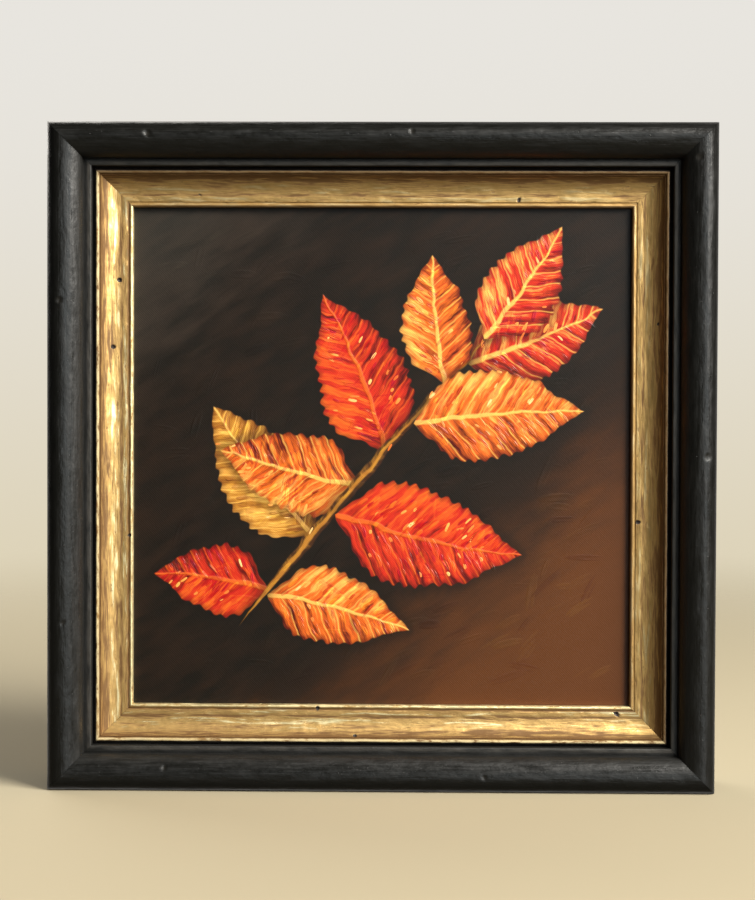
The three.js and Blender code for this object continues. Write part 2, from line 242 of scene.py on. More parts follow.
def satin_black_lacquer():
    """Black lacquer brushed on wood and flatted by hand: an uneven satin sheen, brush lines, dust flecks."""
    material, tree = new_finish("satin_black_lacquer")
    colours = finishes()
    grain = add(tree, ATTRIBUTE, out="Vector", attribute_name="grain")
    # Brush lines about 0.6 mm wide and 18 mm long
    line_place = add(tree, MAPPING, {"Vector": grain, "Scale": (1 / 18, 1 / 0.6, 1 / 0.6)})
    lines = add(tree, NOISE, {"Vector": line_place, "Scale": 1.0, "Detail": 4.0, "Roughness": 0.6})
    # Hollows about 2 mm wide and 8 mm long, where the wood shows through as an uneven sheen
    hollow_place = add(tree, MAPPING, {"Vector": grain, "Scale": (1 / 8, 1 / 2, 1 / 2)})
    hollows = add(tree, NOISE, {"Vector": hollow_place, "Scale": 1.0, "Detail": 3.0, "Roughness": 0.55})
    # Orange peel about 1.2 mm wide and 2.4 mm long, left as the lacquer dried
    peel_place = add(tree, MAPPING, {"Vector": grain, "Scale": (1 / 2.4, 1 / 1.2, 1 / 1.2)})
    peel = add(tree, NOISE, {"Vector": peel_place, "Scale": 1.0, "Detail": 2.0})
    # Dust and pinholes about 0.5 mm across
    dust = add(tree, NOISE, {"Vector": grain, "Scale": 1 / 0.7, "Detail": 2.0})
    flecks = add(tree, RANGE, {"Value": dust, "From Min": 0.7, "From Max": 0.8})
    inset = add(tree, SPLIT, {"Vector": grain}, out="Y")
    # The fillet is lightened with the worn colour: partly real rubbing, partly a painted highlight along it
    fillet = band(tree, inset, FILLET_INSET, 0.9, 0.4)
    patchy = add(tree, RANGE, {"Value": hollows, "From Min": 0.3, "From Max": 0.6, "To Max": 0.75})
    rubbed = add(tree, MATH, {0: fillet, 1: patchy}, operation="MULTIPLY")
    specks = add(tree, MATH, {0: flecks, 1: 0.25}, operation="MULTIPLY")
    wear = add(tree, MATH, {0: rubbed, 1: specks}, operation="MAXIMUM")
    pit = add(tree, ATTRIBUTE, out="Fac", attribute_name="pit")
    pit_wear = add(tree, MATH, {0: pit, 1: 0.2}, operation="MULTIPLY")
    wear_and_fillet_highlight = add(tree, MATH, {0: wear, 1: pit_wear}, operation="MAXIMUM")
    colour = add(tree, MIX, {0: wear_and_fillet_highlight, 6: colours.black, 7: colours.black_wear_and_highlight}, out=2, data_type="RGBA")
    sheen = add(tree, MATH, {0: lines, 1: hollows}, operation="ADD")
    gloss = {"Value": sheen, "From Min": 0.75, "From Max": 1.25, "To Min": 0.22, "To Max": 0.42}
    satin = add(tree, RANGE, gloss)
    # The outer side, the flank and the fillet were never rubbed smooth
    side_matt = add(tree, RANGE, {"Value": inset, "From Min": 0.4, "From Max": 0.0, "To Max": 0.22})
    flank_matt = add(tree, RANGE, {"Value": inset, "From Min": 10.5, "From Max": 13.0, "To Max": 0.22})
    matt = add(tree, MATH, {0: side_matt, 1: flank_matt}, operation="ADD")
    roughness = add(tree, MATH, {0: satin, 1: matt}, operation="ADD")
    fine_relief = add(tree, MATH, {0: lines, 1: flecks}, operation="ADD")
    peeled = add(tree, MATH, {0: peel, 1: 1.8, 2: fine_relief}, operation="MULTIPLY_ADD")
    relief = add(tree, MATH, {0: hollows, 1: 1.6, 2: peeled}, operation="MULTIPLY_ADD")
    normal = add(tree, BUMP, {"Height": relief, "Distance": 0.07 * MM, "Strength": 0.8})
    # The outer side has a thin dry coat with hardly any gloss
    coat = add(tree, RANGE, {"Value": inset, "From Max": 0.4, "To Min": 0.005, "To Max": 0.5})
    inputs = {"Base Color": colour, "Roughness": roughness, "Normal": normal, "IOR": 1.5}
    shader = add(tree, PRINCIPLED, {**inputs, "Specular IOR Level": coat})
    add(tree, SURFACE, {"Surface": shader})
    return material


# How bright the bead and the lip are, partly real polish and partly painted highlight, how brown from painted
# shade, how pale the streaks, how much wax lies in the groove and how far painted shade darkens the scoop,
# each from 0 to 1
GiltWearAndLight = namedtuple("GiltWearAndLight", "bead_polish bead_dirt lip_polish lip_dirt streaks groove_wax scoop_tone")
# Lit and shaded copies of one gilding: painted highlights for the bottom and left slips, painted shade for
# the top and right
LIT_SIDE_GILT = GiltWearAndLight(0.6, 0.0, 1.0, 0.0, 0.95, 1.0, 0.31)
SHADED_SIDE_GILT = GiltWearAndLight(0.1, 0.9, 0.0, 0.8, 0.45, 0.45, 0.38)


def rubbed_gilt(name, wear):
    """Metal leaf over brown bole, rubbed lengthwise: pale and brown streaks, chips, worn edges, painted
    shade.
    """
    material, tree = new_finish(name)
    colours = finishes()
    grain = add(tree, ATTRIBUTE, out="Vector", attribute_name="grain")
    inset = add(tree, SPLIT, {"Vector": grain}, out="Y")
    # Fine streaks about 0.6 mm by 7 mm, broad ones 1.9 mm by 18 mm, chips 1.2 mm by 4 mm
    fine_place = add(tree, MAPPING, {"Vector": grain, "Scale": (1 / 7, 1 / 0.6, 1 / 0.6)})
    fine = add(tree, NOISE, {"Vector": fine_place, "Scale": 1.0, "Detail": 4.0, "Roughness": 0.6})
    broad_place = add(tree, MAPPING, {"Vector": grain, "Scale": (1 / 18, 1 / 1.9, 1 / 1.9)})
    broad = add(tree, NOISE, {"Vector": broad_place, "Scale": 1.0, "Detail": 4.0, "Distortion": 0.8})
    chip_place = add(tree, MAPPING, {"Vector": grain, "Scale": (1 / 4, 1 / 1.2, 1 / 1.2)})
    chips = add(tree, NOISE, {"Vector": chip_place, "Scale": 1.0, "Detail": 5.0, "Roughness": 0.65})
    streaks = add(tree, MATH, {0: fine, 1: 0.6, 2: broad}, operation="MULTIPLY_ADD")
    # Painted shade darkens the scoop towards the bead, and a darker line runs where it meets the flat
    toned = add(tree, RANGE, {"Value": inset, "From Min": 25.0, "From Max": 20.0, "To Max": -wear.scoop_tone})
    line = band(tree, inset, SCOOP_FOOT_INSET, 0.9, 0.2, -0.22)
    shaded = add(tree, MATH, {0: toned, 1: line}, operation="ADD")
    tone = add(tree, MATH, {0: streaks, 1: shaded}, operation="ADD")
    pale_share = add(tree, RANGE, {"Value": tone, "From Min": 0.82, "From Max": 0.96, "To Max": wear.streaks})
    brown_share = add(tree, RANGE, {"Value": tone, "From Min": 0.8, "From Max": 0.52, "To Max": 0.9})
    chipped = add(tree, RANGE, {"Value": chips, "From Min": 0.57, "From Max": 0.68, "To Max": 0.75})
    worn = add(tree, MATH, {0: brown_share, 1: chipped}, operation="MAXIMUM")
    # Dark wax left in the quirk beside the bead and in the groove beside the lip
    quirk = band(tree, inset, QUIRK_INSET, 0.8, 0.15)
    groove = band(tree, inset, GROOVE_INSET, 0.75, 0.15, wear.groove_wax)
    hollows = add(tree, MATH, {0: quirk, 1: groove}, operation="MAXIMUM")
    waxed = add(tree, MATH, {0: hollows, 1: fine}, operation="MULTIPLY")
    wax_share = add(tree, RANGE, {"Value": waxed, "From Max": 0.5, "To Max": 0.95})
    # Specks about 0.5 mm by 2 mm, worn to the ground on the flat beside the groove
    speck_place = add(tree, MAPPING, {"Vector": grain, "Scale": (1 / 2, 1 / 0.5, 1 / 0.5)})
    speck_noise = add(tree, NOISE, {"Vector": speck_place, "Scale": 1.0, "Detail": 3.0, "Roughness": 0.6})
    speck_near = add(tree, RANGE, {"Value": inset, "From Min": 26.5, "From Max": 29.5, "To Max": 0.11})
    speck_sum = add(tree, MATH, {0: speck_noise, 1: speck_near}, operation="ADD")
    specks = add(tree, RANGE, {"Value": speck_sum, "From Min": 0.72, "From Max": 0.8, "To Max": 0.9})
    flecked = add(tree, MATH, {0: worn, 1: specks}, operation="MAXIMUM")
    waxy = add(tree, MATH, {0: flecked, 1: wax_share}, operation="MAXIMUM")
    # Bead and sight lip: pale polish with painted highlights on the lit sides, brown painted shade on the
    # shaded sides
    bead = band(tree, inset, BEAD_INSET, 0.9, 0.5)
    lip = add(tree, RANGE, {"Value": inset, "From Min": LIP_INSET, "From Max": LIP_INSET + 0.6})
    lip_highlight_mask = add(tree, MATH, {0: lip, 1: wear.lip_polish}, operation="MULTIPLY")
    lip_shade_mask = add(tree, MATH, {0: lip, 1: wear.lip_dirt}, operation="MULTIPLY")
    bead_highlight_mask = add(tree, MATH, {0: bead, 1: wear.bead_polish}, operation="MULTIPLY")
    bead_shade_mask = add(tree, MATH, {0: bead, 1: wear.bead_dirt}, operation="MULTIPLY")
    edge_shade_mask = add(tree, MATH, {0: bead_shade_mask, 1: lip_shade_mask}, operation="ADD")
    # Brown from real wear, chips and wax, and from painted shade on the bead and the lip
    brown = add(tree, MATH, {0: waxy, 1: edge_shade_mask}, operation="MAXIMUM")
    edges = add(tree, MATH, {0: bead_highlight_mask, 1: lip_highlight_mask}, operation="MAXIMUM")
    kept = add(tree, RANGE, {"Value": chips, "From Min": 0.62, "From Max": 0.5, "To Max": 0.75})
    polished = add(tree, MATH, {0: edges, 1: kept}, operation="MULTIPLY")
    gold = add(tree, MIX, {0: pale_share, 6: colours.gold, 7: colours.pale_gold}, out=2, data_type="RGBA")
    leaf = add(tree, MIX, {0: brown, 6: gold, 7: colours.bole}, out=2, data_type="RGBA")
    # Pale gold over the bead and the lip: real polish, and a painted highlight on the lit sides
    bright = add(tree, MIX, {0: polished, 6: leaf, 7: colours.pale_gold}, out=2, data_type="RGBA")
    pit = add(tree, ATTRIBUTE, out="Fac", attribute_name="pit")
    hole = add(tree, RANGE, {"Value": pit, "From Max": 0.07})
    # Painted shadow darkens the outer wall and the ledge, in the gap beside the rail; the worm holes take the
    # same dark colour
    wall = add(tree, RANGE, {"Value": inset, "From Min": 18.6, "From Max": 18.3})
    bare = add(tree, MATH, {0: hole, 1: wall}, operation="MAXIMUM")
    hole_and_gap_dark = linear("#20140b")
    colour = add(tree, MIX, {0: bare, 6: bright, 7: hole_and_gap_dark}, out=2, data_type="RGBA")
    metal = add(tree, RANGE, {"Value": brown, "To Min": 0.92, "To Max": 0.3})
    clean_metal = add(tree, MATH, {0: metal, 1: bare}, operation="SUBTRACT", use_clamp=True)
    dull = add(tree, MATH, {0: brown, 1: bare}, operation="ADD")
    roughness = add(tree, RANGE, {"Value": dull, "From Max": 2.0, "To Min": 0.41, "To Max": 0.8})
    sunk = add(tree, MATH, {0: brown, 1: -0.6, 2: streaks}, operation="MULTIPLY_ADD")
    normal = add(tree, BUMP, {"Height": sunk, "Distance": 0.1 * MM, "Strength": 0.55})
    inputs = {"Base Color": colour, "Metallic": clean_metal, "Roughness": roughness, "Normal": normal}
    shader = add(tree, PRINCIPLED, inputs)
    add(tree, SURFACE, {"Surface": shader})
    return material


def sawn_wood(name, light, dark, along, ring, turn=None, shift=0.0):
    """Sawn or planed wood: long pale fibres, darker late wood and open pores.

    Fibres follow the moulding, or the object's first axis once it is turned by the given angles; the shift,
    in millimetres, gives each piece its own part of the pattern.
    """
    material, tree = new_finish(name)
    if turn is None:
        place = add(tree, ATTRIBUTE, out="Vector", attribute_name="grain")
    else:
        here = add(tree, COORDINATES, out="Object")
        moved = {"Scale": IN_MILLIMETRES, "Rotation": turn, "Location": (shift, 0.0, shift)}
        place = add(tree, MAPPING, {"Vector": here, **moved})
    # Fibres 0.5 mm wide, and rings across them at the given width in millimetres
    fibre_place = add(tree, MAPPING, {"Vector": place, "Scale": (1 / along, 1 / 0.5, 1 / 0.5)})
    fibres = add(tree, NOISE, {"Vector": fibre_place, "Scale": 1.0, "Detail": 4.0, "Roughness": 0.6})
    ring_place = add(tree, MAPPING, {"Vector": place, "Scale": (1 / (along * 4), 1 / ring, 1 / (ring * 3))})
    bend = add(tree, NOISE, {"Vector": ring_place, "Scale": 1.0, "Detail": 2.0, "Distortion": 0.6})
    wave = add(tree, MATH, {0: bend, 1: 26.0}, operation="MULTIPLY")
    rings = add(tree, MATH, {0: wave}, operation="SINE")
    late_wood = add(tree, RANGE, {"Value": rings, "From Min": -0.2, "From Max": 1.0, "To Max": 0.42})
    fibre_shade = add(tree, RANGE, {"Value": fibres, "From Min": 0.45, "From Max": 0.75, "To Max": 0.4})
    shade = add(tree, MATH, {0: late_wood, 1: fibre_shade}, operation="ADD", use_clamp=True)
    colour = add(tree, MIX, {0: shade, 6: light, 7: dark}, out=2, data_type="RGBA")
    roughness = add(tree, RANGE, {"Value": fibres, "To Min": 0.6, "To Max": 0.85})
    normal = add(tree, BUMP, {"Height": fibres, "Distance": 0.08 * MM, "Strength": 0.7})
    shader = add(tree, PRINCIPLED, {"Base Color": colour, "Roughness": roughness, "Normal": normal})
    add(tree, SURFACE, {"Surface": shader})
    return material


def plated_steel(name, colour, tarnish):
    """Thin bright plating on pressed steel: a hard sheen, clouded in spots and scratched finely."""
    material, tree = new_finish(name)
    here = add(tree, COORDINATES, out="Object")
    # Clouds about 3 mm across, and scratches about 0.25 mm wide and 6 mm long
    clouds = add(tree, NOISE, {"Vector": here, "Scale": 1 / (3 * MM), "Detail": 4.0, "Roughness": 0.6})
    scratch_scale = (1 / (0.25 * MM), 1 / (6 * MM), 1 / (6 * MM))
    scratch_place = add(tree, MAPPING, {"Vector": here, "Scale": scratch_scale})
    scratches = add(tree, NOISE, {"Vector": scratch_place, "Scale": 1.0, "Detail": 2.0})
    spots = add(tree, RANGE, {"Value": clouds, "From Min": 0.45, "From Max": 0.8, "To Max": 0.7})
    shade = add(tree, MIX, {0: spots, 6: colour, 7: tarnish}, out=2, data_type="RGBA")
    both = add(tree, MATH, {0: clouds, 1: scratches}, operation="ADD")
    sheen = {"Value": both, "From Min": 0.7, "From Max": 1.4, "To Min": 0.24, "To Max": 0.5}
    roughness = add(tree, RANGE, sheen)
    normal = add(tree, BUMP, {"Height": scratches, "Distance": 0.01 * MM, "Strength": 0.4})
    inputs = {"Base Color": shade, "Metallic": 1.0, "Roughness": roughness, "Normal": normal}
    shader = add(tree, PRINCIPLED, inputs)
    add(tree, SURFACE, {"Surface": shader})
    return material


def pressed_felt():
    """Pressed wool felt: matt, mottled, with a fuzzy rim of light."""
    material, tree = new_finish("pressed_felt")
    here = add(tree, COORDINATES, out="Object")
    # Tangled fibres drawn 0.4 mm wide, coarser than real ones so that they show
    fuzz = add(tree, NOISE, {"Vector": here, "Scale": 1 / (0.4 * MM), "Detail": 3.0, "Roughness": 0.7})
    lighter = add(tree, RANGE, {"Value": fuzz, "From Min": 0.35, "From Max": 0.75})
    pale_fibre = linear("#6b5646")
    colour = add(tree, MIX, {0: lighter, 6: finishes().felt, 7: pale_fibre}, out=2, data_type="RGBA")
    normal = add(tree, BUMP, {"Height": fuzz, "Distance": 0.3 * MM})
    inputs = {"Base Color": colour, "Roughness": 0.95, "Sheen Weight": 0.4, "Normal": normal}
    shader = add(tree, PRINCIPLED, inputs)
    add(tree, SURFACE, {"Surface": shader})
    return material


# The picture's paint and cloth

Leaf = namedtuple("Leaf", "base heading length half_width bend deep mid light veins", defaults=(1.0,))

# A spray of leaves across the canvas, in millimetres from its middle, painted in this order
TWIG = Leaf((-58, -69), 49, 172, 2.6, 0.05, "stem", "stem", "ochre", veins=0.0)
LEAVES = (
    Leaf((-26, -32), 128, 66, 17, 0.10, "crimson", "ochre", "straw"),
    Leaf((2, 1), 112, 68, 18, -0.12, "crimson", "scarlet", "orange"),
    Leaf((-45, -54), -14, 58, 15, 0.10, "crimson", "orange", "straw"),
    Leaf((-44, -52), 172, 46, 14, -0.10, "crimson", "scarlet", "orange"),
    Leaf((-8, -11), 166, 58, 16, 0.12, "crimson", "orange", "straw"),
    Leaf((33, 37), 22, 58, 16, -0.12, "crimson", "scarlet", "straw"),
    TWIG,
    Leaf((25, 28), 96, 52, 14, 0.12, "crimson", "orange", "straw"),
    Leaf((-18, -22), -13, 76, 20, -0.12, "crimson", "scarlet", "orange"),
    Leaf((12, 13), 4, 68, 18, 0.10, "crimson", "orange", "straw"),
    Leaf((40, 46), 56, 54, 15, -0.10, "crimson", "scarlet", "straw"),
)
# Spacing of the side veins and of the teeth, in millimetres, and how far the veins lean along the leaf
VEIN_PITCH = 6.5
TOOTH_PITCH = 4.5
VEIN_SLANT = 0.75
# Share of the length, and share of the half width there
LEAF_OUTLINE = ((0.0, 0.0), (0.1, 0.42), (0.32, 1.0), (0.6, 0.86), (0.85, 0.36), (1.0, 0.0))


def painted_leaf_group():
    """A leaf brushed on the flat: its mask, colour, relief and how far inside its outline a point lies."""
    tree = bpy.data.node_groups.new("Painted leaf", "ShaderNodeTree")
    wanted = (
        ("Place", "NodeSocketVector"),
        ("Base", "NodeSocketVector"),
        ("Heading", "NodeSocketFloat"),
        ("Length", "NodeSocketFloat"),
        ("Half Width", "NodeSocketFloat"),
        ("Bend", "NodeSocketFloat"),
        ("Veins", "NodeSocketFloat"),
        ("Deep", "NodeSocketColor"),
        ("Mid", "NodeSocketColor"),
        ("Light", "NodeSocketColor"),
    )
    for name, kind in wanted:
        tree.interface.new_socket(name, in_out="INPUT", socket_type=kind)
    for name, kind in (("Mask", "Float"), ("Colour", "Color"), ("Inside", "Float"), ("Relief", "Float")):
        tree.interface.new_socket(name, in_out="OUTPUT", socket_type="NodeSocket" + kind)
    given = tree.nodes.new("NodeGroupInput").outputs

    # Leaf coordinates: run along the midrib from 0 to 1, side across it in millimetres
    from_base = add(tree, VECTOR_MATH, {0: given["Place"], 1: given["Base"]}, operation="SUBTRACT")
    spin = {"Vector": from_base, "Angle": given["Heading"]}
    level = add(tree, "ShaderNodeVectorRotate", spin, rotation_type="Y_AXIS")
    reach = add(tree, SPLIT, {"Vector": level}, out="X")
    across = add(tree, SPLIT, {"Vector": level}, out="Z")
    run = add(tree, MATH, {0: reach, 1: given["Length"]}, operation="DIVIDE")
    left = add(tree, MATH, {0: 1.0, 1: run}, operation="SUBTRACT")
    arch = add(tree, MATH, {0: run, 1: left}, operation="MULTIPLY")
    bow = add(tree, MATH, {0: given["Bend"], 1: given["Length"]}, operation="MULTIPLY")
    bowed = add(tree, MATH, {0: arch, 1: bow}, operation="MULTIPLY")
    side = add(tree, MATH, {0: across, 1: bowed}, operation="SUBTRACT")
    off_rib = add(tree, MATH, {0: side}, operation="ABSOLUTE")

    # Outline with shallow teeth
    shape = add(tree, "ShaderNodeFloatCurve", {"Value": run})
    outline = shape.node.mapping.curves[0]
    while len(outline.points) < len(LEAF_OUTLINE):
        outline.points.new(0.5, 0.5)
    for point, place in zip(outline.points, LEAF_OUTLINE):
        point.location = place
    shape.node.mapping.update()
    teeth_angle = add(tree, MATH, {0: reach, 1: 2 * math.pi / TOOTH_PITCH}, operation="MULTIPLY")
    teeth = add(tree, MATH, {0: teeth_angle}, operation="SINE")
    tooth_depth = add(tree, MATH, {0: given["Veins"], 1: 0.04}, operation="MULTIPLY")
    toothed = add(tree, MATH, {0: teeth, 1: tooth_depth, 2: 1.0}, operation="MULTIPLY_ADD")
    half = add(tree, MATH, {0: shape, 1: given["Half Width"]}, operation="MULTIPLY")
    edge = add(tree, MATH, {0: half, 1: toothed}, operation="MULTIPLY")
    margin = add(tree, MATH, {0: edge, 1: off_rib}, operation="SUBTRACT")
    from_middle = add(tree, MATH, {0: run, 1: 0.5}, operation="SUBTRACT")
    far = add(tree, MATH, {0: from_middle}, operation="ABSOLUTE")
    beyond = add(tree, RANGE, {"Value": far, "From Min": 0.5, "From Max": 1.5})
    past_end = add(tree, MATH, {0: beyond, 1: given["Length"], 2: 0.4}, operation="MULTIPLY_ADD")
    inside = add(tree, MATH, {0: margin, 1: past_end}, operation="SUBTRACT")
    outline_edge = {"Value": inside, "From Min": -0.25, "From Max": 0.5}
    mask = add(tree, RANGE, outline_edge, interpolation_type="SMOOTHSTEP")

    # Side veins leave the midrib at a slant, and the leaf bulges between them
    slant = add(tree, MATH, {0: off_rib, 1: -VEIN_SLANT, 2: reach}, operation="MULTIPLY_ADD")
    vein_angle = add(tree, MATH, {0: slant, 1: 2 * math.pi / VEIN_PITCH}, operation="MULTIPLY")
    vein_wave = add(tree, MATH, {0: vein_angle}, operation="COSINE")
    veins = add(tree, RANGE, {"Value": vein_wave, "From Min": 0.88, "From Max": 1.0})
    bulge = add(tree, MATH, {0: vein_angle}, operation="SINE")
    facing = add(tree, MATH, {0: side}, operation="SIGN")
    lit = add(tree, MATH, {0: bulge, 1: facing}, operation="MULTIPLY")

    # Brush streaks that follow the veins
    streak_place = add(tree, COMBINE, {"X": slant, "Y": off_rib, "Z": given["Heading"]})
    streak_scale = add(tree, MAPPING, {"Vector": streak_place, "Scale": (1 / 1.6, 1 / 9, 3.0)})
    streaks = add(tree, NOISE, {"Vector": streak_scale, "Scale": 1.0, "Detail": 5.0, "Roughness": 0.65})
    # Paint worked in wet, in patches about 12 mm across
    patches = add(tree, NOISE, {"Vector": from_base, "Scale": 1 / 12, "Detail": 3.0})
    patched = add(tree, MATH, {0: patches, 1: 0.45, 2: -0.22}, operation="MULTIPLY_ADD")
    worked = add(tree, MATH, {0: streaks, 1: patched}, operation="ADD")
    upper = add(tree, MATH, {0: side, 1: given["Half Width"]}, operation="DIVIDE")
    tone = add(tree, MATH, {0: upper, 1: 0.16, 2: worked}, operation="MULTIPLY_ADD")
    shade = add(tree, MATH, {0: lit, 1: 0.09, 2: tone}, operation="MULTIPLY_ADD")
    low = add(tree, RANGE, {"Value": shade, "From Min": 0.22, "From Max": 0.5})
    high = add(tree, RANGE, {"Value": shade, "From Min": 0.54, "From Max": 0.84})
    body = add(tree, MIX, {0: low, 6: given["Deep"], 7: given["Mid"]}, out=2, data_type="RGBA")
    lighted = add(tree, MIX, {0: high, 6: body, 7: given["Light"]}, out=2, data_type="RGBA")
    rim = add(tree, RANGE, {"Value": inside, "From Min": 2.6, "From Max": 0.2, "To Max": 0.6})
    rimmed = add(tree, MIX, {0: rim, 6: lighted, 7: given["Deep"]}, out=2, data_type="RGBA")
    vein_strength = add(tree, MATH, {0: given["Veins"], 1: 0.5}, operation="MULTIPLY")
    vein_share = add(tree, MATH, {0: veins, 1: vein_strength}, operation="MULTIPLY")
    veined = add(tree, MIX, {0: vein_share, 6: rimmed, 7: given["Light"]}, out=2, data_type="RGBA")
    rib_width = add(tree, MATH, {0: left, 1: 0.75, 2: 0.25}, operation="MULTIPLY_ADD")
    rib_margin = add(tree, MATH, {0: rib_width, 1: off_rib}, operation="SUBTRACT")
    rib = add(tree, RANGE, {"Value": rib_margin, "From Min": -0.3, "From Max": 0.3, "To Max": 0.85})
    ribbed = add(tree, MIX, {0: rib, 6: veined, 7: given["Light"]}, out=2, data_type="RGBA")
    relief = add(tree, MATH, {0: streaks, 1: rib}, operation="ADD")
    add(tree, "NodeGroupOutput", {"Mask": mask, "Colour": ribbed, "Inside": inside, "Relief": relief})
    return tree


def picture_millimetres(tree):
    """Millimetres from the middle of the picture, x to the right and z up."""
    here = add(tree, COORDINATES, out="Object")
    location = (0.0, 0.0, -CENTRE_HEIGHT / MM)
    return add(tree, MAPPING, {"Vector": here, "Scale": IN_MILLIMETRES, "Location": location})


# Slant of the ground's brush marks, in degrees
BRUSH_SLANT = 32


def painted_ground(tree, place):
    """Umber ground with a pale light across the upper left and a warm glow in the lower right."""
    colours = paints()
    # Scumbled brush marks about 5 mm wide and 20 mm long, laid on a slant
    slanted = add(tree, MAPPING, {"Vector": place, "Rotation": (0.0, math.radians(BRUSH_SLANT), 0.0)})
    marks_place = add(tree, MAPPING, {"Vector": slanted, "Scale": (1 / 20, 1.0, 1 / 5)})
    marks = add(tree, NOISE, {"Vector": marks_place, "Scale": 1.0, "Detail": 5.0, "Roughness": 0.6})
    spread = add(tree, NOISE, {"Vector": place, "Scale": 1 / 45, "Detail": 3.0})
    x = add(tree, SPLIT, {"Vector": place}, out="X")
    z = add(tree, SPLIT, {"Vector": place}, out="Z")
    fall = add(tree, MATH, {0: z, 1: x}, operation="SUBTRACT")
    broken = add(tree, MATH, {0: marks, 1: 70.0, 2: fall}, operation="MULTIPLY_ADD")
    clouded = add(tree, MATH, {0: spread, 1: 60.0, 2: broken}, operation="MULTIPLY_ADD")
    upper_left = {"Value": clouded, "From Min": 165.0, "From Max": 260.0, "To Max": 0.07}
    pale_share = add(tree, RANGE, upper_left, interpolation_type="SMOOTHSTEP")
    lower_right = {"Value": clouded, "From Min": 20.0, "From Max": -75.0, "To Max": 0.8}
    warm_share = add(tree, RANGE, lower_right, interpolation_type="SMOOTHSTEP")
    dusk = add(tree, RANGE, {"Value": marks, "From Min": 0.35, "From Max": 0.75, "To Max": 0.1})
    ground = add(tree, MIX, {0: dusk, 6: colours.dark, 7: colours.warm}, out=2, data_type="RGBA")
    warmed = add(tree, MIX, {0: warm_share, 6: ground, 7: colours.warm}, out=2, data_type="RGBA")
    lightened = add(tree, MIX, {0: pale_share, 6: warmed, 7: colours.pale}, out=2, data_type="RGBA")
    return lightened, marks


OIL_PAINT_IOR = 1.48


def oil_paint():
    """Oil paint brushed on canvas: rich and satin, with brush ridges and the threads showing through."""
    material, tree = new_finish("oil_paint")
    colours = paints()
    place = picture_millimetres(tree)
    # Outlines wander by about a millimetre, as a hand's do
    hand = add(tree, NOISE, {"Vector": place, "Scale": 1 / 11, "Detail": 2.0}, out="Color")
    shift = add(tree, VECTOR_MATH, {0: hand, 1: (0.5, 0.5, 0.5)}, operation="SUBTRACT")
    wander = add(tree, VECTOR_MATH, {0: shift, "Scale": 4.0}, operation="SCALE")
    drawn = add(tree, VECTOR_MATH, {0: place, 1: wander}, operation="ADD")
    colour, relief = painted_ground(tree, place)
    group = painted_leaf_group()
    for leaf in LEAVES:
        inputs = {
            "Place": drawn,
            "Base": (leaf.base[0], 0.0, leaf.base[1]),
            "Heading": math.radians(leaf.heading),
            "Length": leaf.length,
            "Half Width": leaf.half_width,
            "Bend": leaf.bend,
            "Veins": leaf.veins,
            "Deep": getattr(colours, leaf.deep),
            "Mid": getattr(colours, leaf.mid),
            "Light": getattr(colours, leaf.light),
        }
        mask = add(tree, "ShaderNodeGroup", inputs, node_tree=group)
        leaf_out = mask.node.outputs
        # A soft shade on what lies behind the leaf
        near = {"Value": leaf_out["Inside"], "From Min": -6.0, "From Max": 0.0, "To Max": 0.55}
        shade = add(tree, RANGE, near, interpolation_type="SMOOTHSTEP")
        shaded = add(tree, MIX, {0: shade, 6: colour, 7: colours.dark}, out=2, data_type="RGBA")
        colour = add(tree, MIX, {0: mask, 6: shaded, 7: leaf_out["Colour"]}, out=2, data_type="RGBA")
        relief = add(tree, MIX, {0: mask, 2: relief, 3: leaf_out["Relief"]}, data_type="FLOAT")
    # Each raised stroke is a little lighter or darker than the paint under it
    tint = add(tree, ATTRIBUTE, out="Fac", attribute_name="tint")
    value = add(tree, MATH, {0: tint, 1: 0.28, 2: 1.0}, operation="MULTIPLY_ADD")
    hue = add(tree, MATH, {0: tint, 1: 0.012, 2: 0.5}, operation="MULTIPLY_ADD")
    toned = add(tree, "ShaderNodeHueSaturation", {"Hue": hue, "Value": value, "Color": colour})
    threads = woven_threads(tree, place)
    # Bristle marks about 0.4 mm wide in the dry paint
    bristles = add(tree, NOISE, {"Vector": place, "Scale": 1 / 0.8, "Detail": 3.0})
    brushed = add(tree, MATH, {0: bristles, 1: 0.35, 2: relief}, operation="MULTIPLY_ADD")
    height = add(tree, MATH, {0: threads, 1: 0.22, 2: brushed}, operation="MULTIPLY_ADD")
    normal = add(tree, BUMP, {"Height": height, "Distance": 0.16 * MM, "Strength": 0.7})
    sheen = {"Value": brushed, "From Min": 0.3, "From Max": 1.2, "To Min": 0.27, "To Max": 0.42}
    roughness = add(tree, RANGE, sheen)
    inputs = {"Base Color": toned, "Roughness": roughness, "Normal": normal}
    # Lean paint, dried with little gloss
    gloss = {"IOR": OIL_PAINT_IOR, "Specular IOR Level": 0.32}
    shader = add(tree, PRINCIPLED, {**inputs, **gloss})
    add(tree, SURFACE, {"Surface": shader})
    return material


def woven_threads(tree, place):
    """Over and under of a plain weave, from -1 to 1. place is in millimetres."""
    # Real threads are about 0.5 mm apart; the pitch is drawn wider so that it shows at this size
    turn = 2 * math.pi * MM / sizes().thread_pitch
    x = add(tree, SPLIT, {"Vector": place}, out="X")
    z = add(tree, SPLIT, {"Vector": place}, out="Z")
    warp_angle = add(tree, MATH, {0: x, 1: turn}, operation="MULTIPLY")
    weft_angle = add(tree, MATH, {0: z, 1: turn}, operation="MULTIPLY")
    warp = add(tree, MATH, {0: warp_angle}, operation="SINE")
    weft = add(tree, MATH, {0: weft_angle}, operation="SINE")
    return add(tree, MATH, {0: warp, 1: weft}, operation="MULTIPLY")


